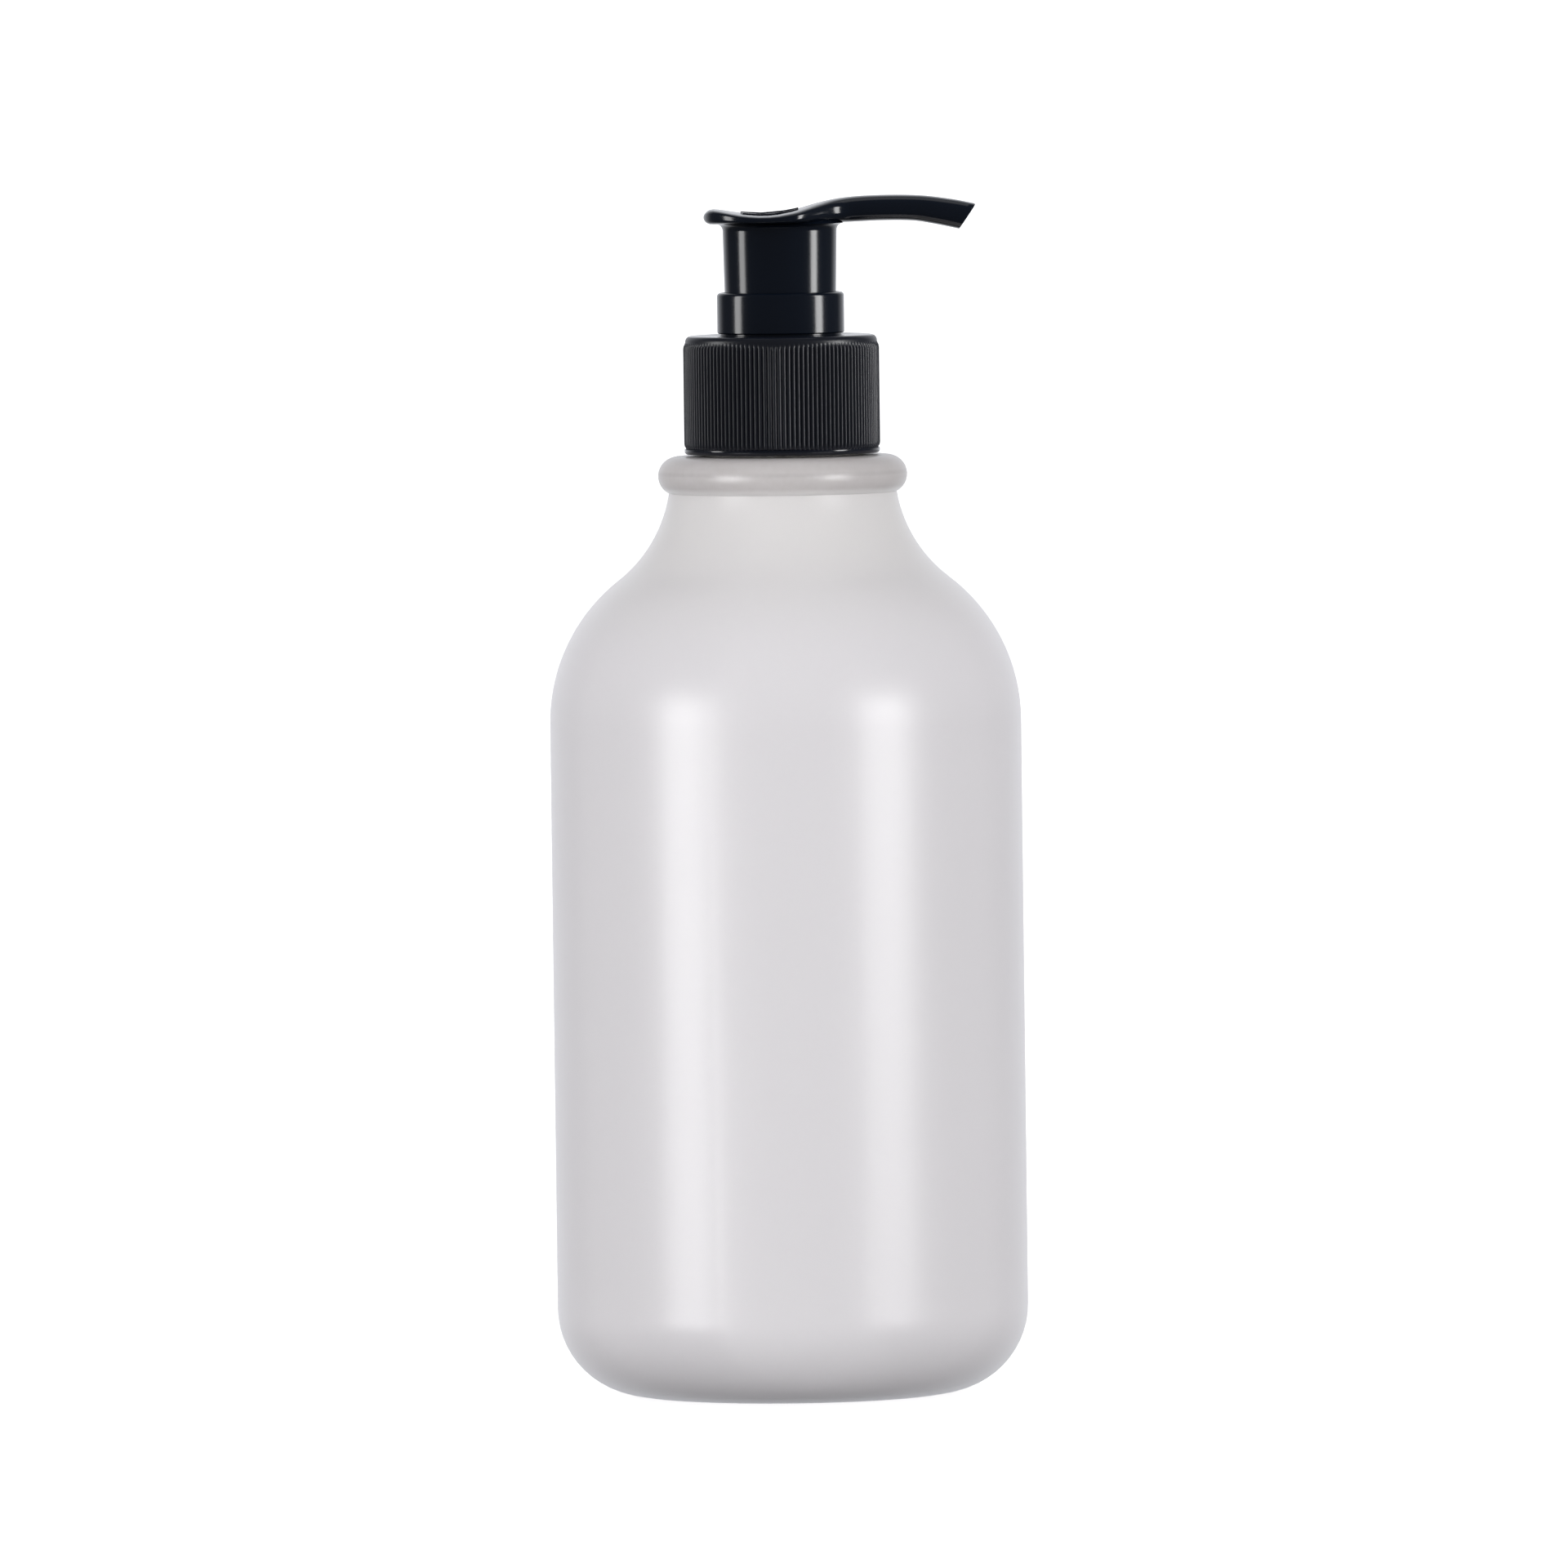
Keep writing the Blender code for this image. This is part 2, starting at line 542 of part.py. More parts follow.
def head_rings(points_round):
    """Cross-sections of the head: rounded bars that lean over more and more towards the tip."""
    rings = []
    for place in head_stations():
        half = head_width(place)
        top, under = head_top(place), head_under(place)
        middle, rise = (top + under) / 2, (top - under) / 2
        lean = SPOUT_TIP_LEAN * max(place / SPOUT_REACH, 0) ** 3
        squareness = 0.5 if place < 0.006 else 0.75
        ring = []
        for k in range(points_round):
            turn = math.tau * (k + 0.5) / points_round
            across = math.copysign(abs(math.cos(turn)) ** squareness, math.cos(turn))
            up = math.copysign(abs(math.sin(turn)) ** squareness, math.sin(turn))
            ring.append((place - lean * (1 - up) / 2, half * across, middle + rise * up))
        rings.append(ring)
    return rings


def spout_channel_path():
    """The way the lotion takes: up out of the stem and out along the middle of the spout."""
    low = SOCKET_ROOF - 0.001
    path = [Vector((0, 0, low)), Vector((0.0003, 0, HEAD_BOTTOM - 0.0009)), Vector((0.0014, 0, HEAD_BOTTOM))]
    path += [Vector((0.004, 0, HEAD_BOTTOM + 0.0002)), Vector((0.007, 0, HEAD_BOTTOM + 0.0011))]
    for share in (0.3, 0.42, 0.55, 0.7, 0.85, 0.95, 1.05):
        place = SPOUT_REACH * share
        inside = min(place, SPOUT_REACH * 0.97)
        path.append(Vector((place, 0, (head_top(inside) + head_under(inside)) / 2)))
    return path


def actuator_head(material):
    obj = skin("actuator_head", head_rings(16), material)
    boss_bottom = SKIRT_BOTTOM + SOCKET_BOSS_RISE
    outline = [(0, HEAD_BOTTOM + SKIRT_JOIN), (0, SOCKET_ROOF), (STEM_SOCKET, SOCKET_ROOF)]
    outline += [(STEM_SOCKET, boss_bottom), (BOSS_RADIUS, boss_bottom), (BOSS_RADIUS, SOCKET_ROOF)]
    outline += [(SKIRT_INNER, SOCKET_ROOF), (SKIRT_INNER, SKIRT_BOTTOM), (SKIRT_FOOT_RADIUS, SKIRT_BOTTOM)]
    outline += [(SKIRT_TOP_RADIUS, HEAD_BOTTOM), (SKIRT_TOP_RADIUS, HEAD_BOTTOM + SKIRT_JOIN)]
    combine(obj, turned("head_skirt", outline, WIDE), "UNION")
    rib_inner = BOSS_RADIUS + LOOSE
    key_inner = (rib_inner + SKIRT_INNER - LOOSE) / 2
    key_outer = SKIRT_INNER + SKIRT_WALL / 2
    key = lock_rib("head_key", key_inner, key_outer, SKIRT_BOTTOM + SEAT, HEAD_BOTTOM - 0.001, 180)
    combine(obj, key, "UNION")
    channel = swept_tube("spout_channel", spout_channel_path(), SPOUT_CHANNEL_RADIUS, 10)
    combine(obj, channel, "DIFFERENCE")
    set_origin(obj, SKIRT_BOTTOM)
    return obj


def stem(material):
    outline = [(STEM_BORE_RADIUS, STEM_BOTTOM), (STEM_RADIUS, STEM_BOTTOM), (STEM_RADIUS, STEM_TOP)]
    outline += [(STEM_BORE_RADIUS, STEM_TOP)]
    obj = turned("stem", outline, NARROW, material)
    set_origin(obj, STEM_BOTTOM)
    return obj


def piston_rod(material):
    cone = PISTON_BORE - ROD_RADIUS
    outline = [(0, ROD_SEAT_BOTTOM), (ROD_SEAT_RADIUS, ROD_SEAT_BOTTOM), (ROD_SEAT_RADIUS, ROD_SEAT_TOP)]
    outline += [(ROD_RADIUS, ROD_SEAT_TOP), (ROD_RADIUS - cone, ROD_SEAT_TOP + cone / 2)]
    outline += [(0, ROD_SEAT_TOP + cone / 2)]
    obj = turned("piston_rod", outline, NARROW, material)
    half = ROD_ARM_WIDTH / 2
    reach = math.sqrt(ROD_RADIUS**2 - half**2)
    corner = [(reach, -half), (reach, half), (half, half)]
    section = []
    for quarter in range(4):
        for x, y in corner:
            for _ in range(quarter):
                x, y = -y, x
            section.append((x, y))
    levels = (ROD_SEAT_BOTTOM + ROD_SEAT_THICKNESS / 2, STEM_BOTTOM + ROD_GRIP_LENGTH)
    shank = skin("fluted_shank", [[(x, y, z) for x, y in section] for z in levels])
    combine(obj, shank, "UNION")
    set_origin(obj, ROD_SEAT_TOP)
    return obj


def piston(material):
    hub = PISTON_BORE + PISTON_HUB_WALL
    sleeve_inner = PISTON_RADIUS - PISTON_SLEEVE_WALL
    waist = PISTON_RADIUS - RUN * 2
    web_low = HUB_BOTTOM + PISTON_HUB_LENGTH * 0.4
    web_high = web_low + PISTON_HUB_WALL * 1.4
    lip_low = HUB_BOTTOM - SEAT
    outline = [(PISTON_BORE, HUB_BOTTOM), (hub, HUB_BOTTOM), (hub, web_low), (sleeve_inner, web_low)]
    outline += [(sleeve_inner + RUN * 2, lip_low), (PISTON_RADIUS, lip_low), (waist, web_low), (waist, web_high)]
    outline += [(PISTON_RADIUS, PISTON_TOP), (sleeve_inner + RUN * 2, PISTON_TOP), (sleeve_inner, web_high)]
    outline += [(hub, web_high), (hub, HUB_TOP), (PISTON_BORE, HUB_TOP)]
    obj = turned("piston", outline, NARROW, material)
    set_origin(obj, HUB_BOTTOM)
    return obj


def return_spring(material):
    """A compression spring with a closed coil at each end."""
    steps = 14
    wire = SPRING_WIRE_RADIUS
    end_pitch = wire * 2.4
    open_pitch = (SPRING_LENGTH - 2 * wire - 2 * end_pitch) / (SPRING_COILS - 2)
    path = []
    for i in range(SPRING_COILS * steps + 1):
        coils = i / steps
        rise = end_pitch * min(coils, 1) + open_pitch * min(max(coils - 1, 0), SPRING_COILS - 2)
        rise += end_pitch * max(coils - SPRING_COILS + 1, 0)
        turn = math.tau * coils
        across, aside = SPRING_RADIUS * math.cos(turn), SPRING_RADIUS * math.sin(turn)
        path.append((across, aside, SPRING_BOTTOM + wire + rise))
    sides = 6
    rings = []
    for i, point in enumerate(path):
        turn = math.tau * i / steps
        out = Vector((math.cos(turn), math.sin(turn), 0))
        ring = []
        for k in range(sides):
            lift = math.tau * (k + 0.5) / sides
            ring.append(Vector(point) + wire * (out * math.cos(lift) + Vector((0, 0, math.sin(lift)))))
        rings.append(ring)
    obj = skin("return_spring", rings, material)
    set_origin(obj, SPRING_BOTTOM)
    return obj


def inlet_ball(material):
    bm = bmesh.new()
    bmesh.ops.create_uvsphere(bm, u_segments=16, v_segments=10, radius=BALL_RADIUS)
    bmesh.ops.translate(bm, verts=bm.verts, vec=(0, 0, BALL_CENTRE))
    obj = finish(bm, "inlet_ball", material)
    set_origin(obj, BALL_CENTRE)
    return obj


def dip_tube(material):
    """A straight tube whose foot is cut on a slant, so that it can't seal itself against the floor."""
    outline = [(DIP_TUBE_BORE_RADIUS, DIP_TUBE_BOTTOM), (DIP_TUBE_RADIUS, DIP_TUBE_BOTTOM)]
    outline += [(DIP_TUBE_RADIUS, DIP_TUBE_TOP), (DIP_TUBE_BORE_RADIUS, DIP_TUBE_TOP)]
    obj = turned("dip_tube", outline, NARROW, material)
    for vert in obj.data.vertices:
        if vert.co.z < DIP_TUBE_BOTTOM + DIP_TUBE_SLANT:
            vert.co.z += DIP_TUBE_SLANT * (vert.co.x + DIP_TUBE_RADIUS) / (2 * DIP_TUBE_RADIUS)
    return obj


def axis_marker(name, height):
    """An empty on the shared axis, at the height where a joint acts."""
    empty = bpy.data.objects.new(name, None)
    empty.empty_display_size = 0.01
    empty.location.z = height
    bpy.context.scene.collection.objects.link(empty)
    return empty


def hang(piece, parent):
    """Parents a piece to an empty or to another piece, and leaves it where it is."""
    bpy.context.view_layer.update()
    piece.parent = parent
    piece.matrix_parent_inverse = parent.matrix_world.inverted()


def main():
    clear_scene()
    frosted = plastic("frosted_bottle", (0.73, 0.71, 0.74), 0.45, alpha=0.9)
    black_satin = plastic("black_satin", (0.012, 0.014, 0.019), 0.38)
    black_gloss = plastic("black_gloss", (0.008, 0.010, 0.014), 0.12)
    natural = plastic("natural_plastic", (0.72, 0.72, 0.70), 0.3)
    white = plastic("white_plastic", (0.8, 0.8, 0.79), 0.35)
    foam = plastic("gasket_foam", (0.62, 0.62, 0.60), 0.8)
    steel = plastic("spring_steel", (0.55, 0.55, 0.56), 0.25, metallic=1.0)
    ball_glass = plastic("ball_glass", (0.55, 0.62, 0.60), 0.05)

    body = bottle(frosted)
    pump_core = axis_marker("pump_core", NECK_TOP)
    hang(pump_core, body)
    for piece in (
        neck_gasket(foam),
        housing(natural),
        lock_collar(black_gloss),
        return_spring(steel),
        dip_tube(natural),
        closure(black_satin),
        inlet_ball(ball_glass),
    ):
        hang(piece, pump_core)
    plunger = axis_marker("plunger", STEM_BOTTOM)
    hang(plunger, pump_core)
    for piece in (stem(white), piston_rod(white), piston(natural), actuator_head(black_gloss)):
        hang(piece, plunger)


main()
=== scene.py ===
"""Looks of a lotion pump bottle, laid out as a Blender add-on and run as a script.

Each operator models one piece, or a group of like pieces, in the frame of the CAD model: metres, +Z up, the
axis of every turned piece on Z, and the spout along +X. Sizes that a CAD piece already has are read from it.
"""

import math

import bmesh
import bpy
from bpy.props import FloatProperty, FloatVectorProperty, IntProperty, PointerProperty
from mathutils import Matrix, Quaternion, Vector


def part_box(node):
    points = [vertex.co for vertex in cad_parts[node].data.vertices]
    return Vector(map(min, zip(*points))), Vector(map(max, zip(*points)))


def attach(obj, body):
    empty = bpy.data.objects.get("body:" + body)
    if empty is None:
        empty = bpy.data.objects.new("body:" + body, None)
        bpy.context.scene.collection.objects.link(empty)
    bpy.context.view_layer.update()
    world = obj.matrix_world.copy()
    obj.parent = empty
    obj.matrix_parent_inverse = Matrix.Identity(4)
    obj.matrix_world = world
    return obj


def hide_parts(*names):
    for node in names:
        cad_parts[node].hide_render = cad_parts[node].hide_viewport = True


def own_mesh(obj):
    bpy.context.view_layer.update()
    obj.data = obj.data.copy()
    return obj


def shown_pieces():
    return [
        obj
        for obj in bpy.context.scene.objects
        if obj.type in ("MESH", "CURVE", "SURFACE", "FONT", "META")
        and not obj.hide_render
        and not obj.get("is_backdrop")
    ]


bl_info = {
    "name": "Lotion Pump Bottle",
    "version": (1, 0, 0),
    "blender": (4, 5, 0),
    "location": "3D View > Sidebar > Bottle",
    "description": "Models a frosted lotion bottle, its ribbed closure and its pump",
    "category": "Add Mesh",
}

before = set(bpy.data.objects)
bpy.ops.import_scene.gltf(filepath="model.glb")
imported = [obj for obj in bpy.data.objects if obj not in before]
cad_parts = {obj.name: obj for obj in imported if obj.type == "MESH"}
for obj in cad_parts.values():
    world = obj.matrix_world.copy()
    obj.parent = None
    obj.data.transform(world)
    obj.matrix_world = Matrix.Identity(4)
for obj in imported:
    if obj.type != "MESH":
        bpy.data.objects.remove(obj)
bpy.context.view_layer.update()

EDGE = 0.0002  # how far a moulded edge is eased
SNUG = 0.0001  # the gap round a piece that fits closely
LOOSE = 0.0002  # the gap beside a piece that swings past another
STOP_WIDTH = 0.0018  # width of the head's key and of the ribs that stop it
GLOSS = (0.16, 0.03, 0.000003)  # roughness of the glossy black, how much it varies, and its relief


def low(node):
    """The height of a CAD node's foot."""
    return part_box(node)[0].z


def high(node):
    """The height of a CAD node's top."""
    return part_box(node)[1].z


def reach(node):
    """How far a CAD node reaches from the axis along +X."""
    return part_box(node)[1].x


# ---------------------------------------------------------------- sizes and colours


def length(name, description, default):
    return FloatProperty(
        name=name, description=description, default=default, min=0, unit="LENGTH", precision=5
    )


def colour(name, description, default):
    return FloatVectorProperty(
        name=name, description=description, default=default, subtype="COLOR", size=3, min=0, max=1
    )


class BottleSizes(bpy.types.PropertyGroup):
    body_radius: length("Body radius", "Outside radius of the straight body", reach("bottle"))
    wall: length("Wall", "Thickness of the blown wall", 0.001)
    corner_radius: length("Base corner", "Radius of the rounded base corner", 0.014)
    ring_width: length("Standing ring", "Width of the flat ring that it stands on", 0.004)
    push_up: length("Push-up", "Height of the hollow under the base", 0.0018)
    shoulder_height: length("Shoulder height", "Where the straight body ends", 0.1085)
    shoulder_radius: length("Shoulder radius", "Radius of the round shoulder", 0.029)
    flare_radius: length("Neck flare", "Radius of the hollow curve up to the neck ring", 0.022)
    bead_reach: length("Neck ring reach", "Outside radius of the neck ring", 0.0201)
    bead_section: length("Neck ring section", "Radius of the neck ring's round section", 0.00315)
    bead_height: length("Neck ring height", "Height of the middle of the neck ring", 0.1482)
    notch_radius: length("Notch", "Radius of the notch under the neck ring", 0.0184)
    neck_radius: length("Neck", "Outside radius of the neck", 0.0125)
    bore_radius: length("Bore", "Inside radius of the neck", 0.01075)
    thread_depth: length("Thread depth", "How far the neck's thread stands out", 0.0012)
    thread_pitch: length("Thread pitch", "Rise of the thread in one turn", 0.004233)


class ClosureSizes(bpy.types.PropertyGroup):
    rib_count: IntProperty(name="Ribs", description="Upright ribs round the closure", default=128, min=8)
    rib_depth: length("Rib depth", "How far a rib stands out", 0.00032)
    foot_band: length("Foot band", "Height of the smooth band at the foot", 0.0008)
    rib_top_drop: length("Rib top", "From the closure's top down to where its ribs begin", 0.0014)
    edge_radius: length("Top edge", "Radius of the top edge", 0.0010)
    bore_radius: length("Bore", "Inside radius of the skirt", 0.0141)
    hole_radius: length("Hole", "Radius of the hole that the collar passes through", 0.0099)
    plate: length("Plate", "Thickness of the top plate", 0.0015)
    thread_crest: length("Thread crest", "Radius of the inner thread's crest", 0.0130)


class PumpSizes(bpy.types.PropertyGroup):
    collar_mouth: length("Collar mouth", "Inside radius of the collar's mouth", 0.0093)
    throat_outer: length("Throat outside", "Outside radius of the collar below the closure", 0.0097)
    throat_inner: length("Throat inside", "Inside radius of the collar below the closure", 0.00915)
    collar_lip: length("Collar lip", "Radius of the collar's top edge", 0.0006)
    collar_floor: length("Collar floor", "Thickness of the collar's floor", 0.0012)
    skirt_foot: length("Skirt foot", "Outside radius of the head's skirt at its foot", 0.00895)
    skirt_top: length("Skirt top", "Outside radius of the head's skirt at its top", 0.0092)
    skirt_wall: length("Skirt wall", "Thickness of the head's skirt", 0.001)
    skirt_fillet: length("Skirt fillet", "Radius where the skirt meets the saddle", 0.0011)
    boss_radius: length("Boss", "Outside radius of the socket that takes the stem", 0.0043)
    saddle_radius: length("Saddle", "Radius of the thumb saddle", 0.01225)
    rear_roll: length("Rear roll", "Radius of the saddle's rolled rear edge", 0.0013)
    spout_root: length("Spout root", "Half the spout's width where it leaves the saddle", 0.0042)
    spout_tip: length("Spout tip", "Half the spout's width at its tip", 0.0032)
    spout_lean: length("Tip lean", "How far the tip's upper corner reaches past its lower one", 0.0025)
    channel_radius: length("Channel", "Radius of the way through the spout", 0.0012)
    saddle_height: length("Saddle height", "Height of the saddle's underside", 0.1887)
    stem_bore: length("Stem bore", "Inside radius of the stem", 0.0022)
    barrel_bore: length("Barrel bore", "Inside radius of the pump chamber", 0.0056)
    barrel_wall: length("Barrel wall", "Thickness of the pump chamber's wall", 0.0008)
    tube_bore: length("Tube bore", "Inside radius of the dip tube", 0.0029)
    wire_radius: length("Wire", "Radius of the spring's wire", 0.00042)
    spring_coils: IntProperty(name="Coils", description="Turns of the spring's wire", default=8, min=3)


class Finishes(bpy.types.PropertyGroup):
    frosted: colour("Frosted", "The bottle's frosted skin", (0.81, 0.782, 0.81))
    # Painted show-through of the pump in the neck: a warmer tint of the same skin.
    frosted_show_through: colour("Frosted neck", "The same skin where the pump shows through", (0.80, 0.775, 0.765))
    # Painted shade: the same skin, darker, on the solid neck ring.
    frosted_ring_shade: colour("Frosted ring", "The same skin on the solid neck ring", (0.56, 0.53, 0.525))
    satin: colour("Satin black", "The ribbed closure", (0.008, 0.010, 0.017))
    gloss: colour("Gloss black", "The collar and the head", (0.004, 0.007, 0.014))
    natural: colour("Natural plastic", "The pump chamber, the piston and the dip tube", (0.74, 0.74, 0.71))
    white: colour("White plastic", "The stem and the piston rod", (0.80, 0.80, 0.79))
    foam: colour("Foam", "The gasket", (0.66, 0.66, 0.63))
    steel: colour("Spring steel", "The spring's bright wire", (0.60, 0.60, 0.61))
    glass: colour("Ball glass", "The valve's ball", (0.70, 0.80, 0.78))
    floor: colour("Floor", "The pale floor", (0.90, 0.90, 0.90))


class StageSettings(bpy.types.PropertyGroup):
    distance: length("Distance", "How far the camera stands from the axis", 3.45)
    eye_height: length("Eye height", "How high the camera stands", 0.265)
    aim_height: length("Aim height", "The height on the axis that the camera looks at", 0.0983)
    aim_side: FloatProperty(name="Aim side", description="How far beside the axis it looks", default=-0.0004)
    view_width: length("View width", "Width of what the camera sees at the axis", 0.2529)
    roll: FloatProperty(
        name="Roll", description="Turn about the line of sight", default=0.0125, subtype="ANGLE"
    )


# ---------------------------------------------------------------- modelling by hand


def start_fresh():
    """Object mode, with nothing selected."""
    if bpy.context.mode != "OBJECT":
        bpy.ops.object.mode_set(mode="OBJECT")
    bpy.ops.object.select_all(action="DESELECT")


def select_only(obj):
    start_fresh()
    obj.select_set(True)
    bpy.context.view_layer.objects.active = obj


def select_where(test, kind="VERT"):
    """In edit mode, selects just what passes the test, and returns the place of the first vertex found."""
    bpy.ops.mesh.select_all(action="DESELECT")
    bpy.ops.mesh.select_mode(type=kind)
    mesh = bmesh.from_edit_mesh(bpy.context.active_object.data)
    parts = {"VERT": mesh.verts, "EDGE": mesh.edges, "FACE": mesh.faces}[kind]
    found = [part for part in parts if test(part)]
    for part in found:
        part.select_set(True)
    mesh.select_flush_mode()
    bmesh.update_edit_mesh(bpy.context.active_object.data)
    return found[0].co.copy() if kind == "VERT" and found else None


def radius_of(point):
    return math.hypot(point[0], point[1])


def arc(centre, radius, start, end, steps):
    """Points on an arc from the start angle to the end angle, both in radians and both included."""
    turns = [start + (end - start) * i / steps for i in range(steps + 1)]
    return [(centre[0] + radius * math.cos(a), centre[1] + radius * math.sin(a)) for a in turns]


def rounded(outline, radius, steps=3):
    """An outline of (radius, height) points with its corners rounded, less where an edge is short."""
    result = []
    count = len(outline)
    for i, corner in enumerate(outline):
        corner = Vector(corner)
        before = Vector(outline[i - 1]) - corner
        after = Vector(outline[(i + 1) % count]) - corner
        on_axis = min(before.length, after.length, corner.x) < 1e-6
        if on_axis or before.angle(after) > math.radians(160):
            result.append(tuple(corner))
            continue
        cut = min(radius, before.length * 0.45, after.length * 0.45)
        start = corner + before.normalized() * cut
        end = corner + after.normalized() * cut
        for k in range(steps + 1):
            t = k / steps
            point = start * (1 - t) ** 2 + corner * 2 * t * (1 - t) + end * t**2
            result.append(tuple(point))
    return result


def draw_outline(name, outline, closed):
    """Draws (radius, height) points as a line of edges in the XZ plane, and stays in edit mode."""
    start_fresh()
    bpy.ops.mesh.primitive_plane_add(size=0.001, location=(0, 0, 0))
    bpy.context.active_object.name = name
    bpy.ops.object.mode_set(mode="EDIT")
    bpy.ops.mesh.select_mode(type="VERT")
    bpy.ops.mesh.merge(type="CENTER")
    bpy.ops.transform.translate(value=(outline[0][0], 0, outline[0][1]))
    for before, after in zip(outline, outline[1:]):
        step = (after[0] - before[0], 0, after[1] - before[1])
        bpy.ops.mesh.extrude_region_move(TRANSFORM_OT_translate={"value": step})
    if closed:
        ends = (Vector((outline[0][0], 0, outline[0][1])), Vector((outline[-1][0], 0, outline[-1][1])))
        select_where(lambda vert: min((vert.co - end).length for end in ends) < 1e-7)
        bpy.ops.mesh.edge_face_add()


def clean_surface():
    """In edit mode: closes seams and poles, and turns every face outwards."""
    bpy.ops.mesh.select_mode(type="VERT")
    bpy.ops.mesh.select_all(action="SELECT")
    bpy.ops.mesh.remove_doubles(threshold=1e-6)
    bpy.ops.mesh.normals_make_consistent(inside=False)


def turned(name, outline, steps, closed=True):
    """A turned piece: its outline is drawn and spun all the way round the Z axis."""
    draw_outline(name, outline, closed)
    bpy.ops.mesh.select_all(action="SELECT")
    bpy.ops.mesh.spin(steps=steps, angle=math.tau, center=(0, 0, 0), axis=(0, 0, 1))
    clean_surface()
    bpy.ops.object.mode_set(mode="OBJECT")
    return bpy.context.active_object


def extruded_through(name, rings):
    """A bar: a ring of points that is extruded again and again, its points set at each stop, then capped."""
    start_fresh()
    bpy.ops.mesh.primitive_circle_add(vertices=len(rings[0]), radius=0.001, fill_type="NGON")
    bpy.context.active_object.name = name
    bpy.ops.object.mode_set(mode="EDIT")
    bpy.ops.mesh.select_mode(type="FACE")
    obj = bpy.context.active_object
    for number, ring in enumerate(rings):
        if number:
            bpy.ops.mesh.extrude_region_move(TRANSFORM_OT_translate={"value": (0, 0, 0.001)})
        mesh = bmesh.from_edit_mesh(obj.data)
        face = next(face for face in mesh.faces if face.select)
        loops = list(face.verts)
        for vert, point in zip(loops, ring):
            vert.co = point
        bmesh.update_edit_mesh(obj.data)
    # The first ring was extruded away from its own face, so that end is closed again here.
    mesh = bmesh.from_edit_mesh(obj.data)
    if any(edge.is_boundary for edge in mesh.edges):
        select_where(lambda edge: edge.is_boundary, "EDGE")
        bpy.ops.mesh.edge_face_add()
    clean_surface()
    bpy.ops.object.mode_set(mode="OBJECT")
    return obj


def apply_modifier(obj, kind, **settings):
    select_only(obj)
    modifier = obj.modifiers.new(kind.lower(), kind)
    for key, value in settings.items():
        setattr(modifier, key, value)
    bpy.ops.object.modifier_apply(modifier=modifier.name)


def combine(obj, helper, operation):
    """Joins a helper to a piece, or cuts it out of it, and removes the helper."""
    apply_modifier(obj, "BOOLEAN", object=helper, operation=operation, solver="EXACT")
    bpy.data.objects.remove(helper, do_unlink=True)


def finish_piece(obj, body, slot, paint, *nodes, angle=35):
    """Shades a piece, paints it, and hangs it on its body in place of its CAD nodes."""
    select_only(obj)
    bpy.ops.object.transform_apply(location=True, rotation=True, scale=True)
    bpy.ops.object.shade_smooth_by_angle(angle=math.radians(angle))
    obj.data.materials.clear()
    obj.data.materials.append(paint)
    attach(obj, body)
    if nodes:
        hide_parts(*nodes)
    return obj


# ---------------------------------------------------------------- the bottle and its closure


def angle_from(centre, point):
    return math.atan2(point[1] - centre[1], point[0] - centre[0])


def outer_meeting(first, first_reach, second, second_reach):
    """Where arcs about two points cross, on the side away from the axis."""
    gap = math.dist(first, second)
    along = (gap**2 + first_reach**2 - second_reach**2) / (2 * gap)
    aside = math.sqrt(first_reach**2 - along**2)
    across, up = (second[0] - first[0]) / gap, (second[1] - first[1]) / gap
    foot = (first[0] + across * along, first[1] + up * along)
    return max((foot[0] + s * up * aside, foot[1] - s * across * aside) for s in (1, -1))


def bottle_side(size, inset):
    """The bottle's side from its base corner up to the neck ring, moved inwards by the inset."""
    corner = (size.body_radius - size.corner_radius, size.corner_radius)
    shoulder = (size.body_radius - size.shoulder_radius, size.shoulder_height)
    bead = (size.bead_reach - size.bead_section, size.bead_height)
    notch_turn = -math.acos((size.notch_radius - bead[0]) / size.bead_section)
    notch = arc(bead, size.bead_section, notch_turn, notch_turn, 1)[0]
    flare = outer_meeting(
        shoulder, size.shoulder_radius + size.flare_radius, notch, size.flare_radius
    )
    shoulder_end = angle_from(shoulder, flare)
    flare_start = shoulder_end - math.pi
    flare_end = flare_start + math.remainder(angle_from(flare, notch) - flare_start, math.tau)
    side = arc(corner, size.corner_radius - inset, -math.pi / 2, 0, 14)
    side += arc(shoulder, size.shoulder_radius - inset, 0, shoulder_end, 18)
    side += arc(flare, size.flare_radius + inset, flare_start, flare_end, 14)[1:]
    bead_start = notch_turn + inset / size.bead_section
    turned_bead = arc(bead, size.bead_section - inset, bead_start, math.pi / 2, 14)
    return side + turned_bead[0 if inset else 1 :]


def thread_rings(wall, crest, root_width, crest_width, foot, turns, pitch):
    """Sections along a right-hand thread, whose root is sunk in the wall and whose ends run out into it."""
    sunk = math.copysign(0.0004, crest - wall)
    steps = round(turns * 64)
    rings = []
    for i in range(steps + 1):
        turn = math.tau * turns * i / steps
        height = foot + pitch * turn / math.tau
        run_out = min(1, (i + 0.3) / 6, (steps - i + 0.3) / 6)
        tip = wall + (crest - wall) * run_out
        ring = []
        for radius, rise in (
            (wall - sunk, -root_width / 2),
            (tip, -crest_width / 2),
            (tip, crest_width / 2),
            (wall - sunk, root_width / 2),
        ):
            ring.append((radius * math.cos(turn), radius * math.sin(turn), height + rise))
        rings.append(ring)
    return rings


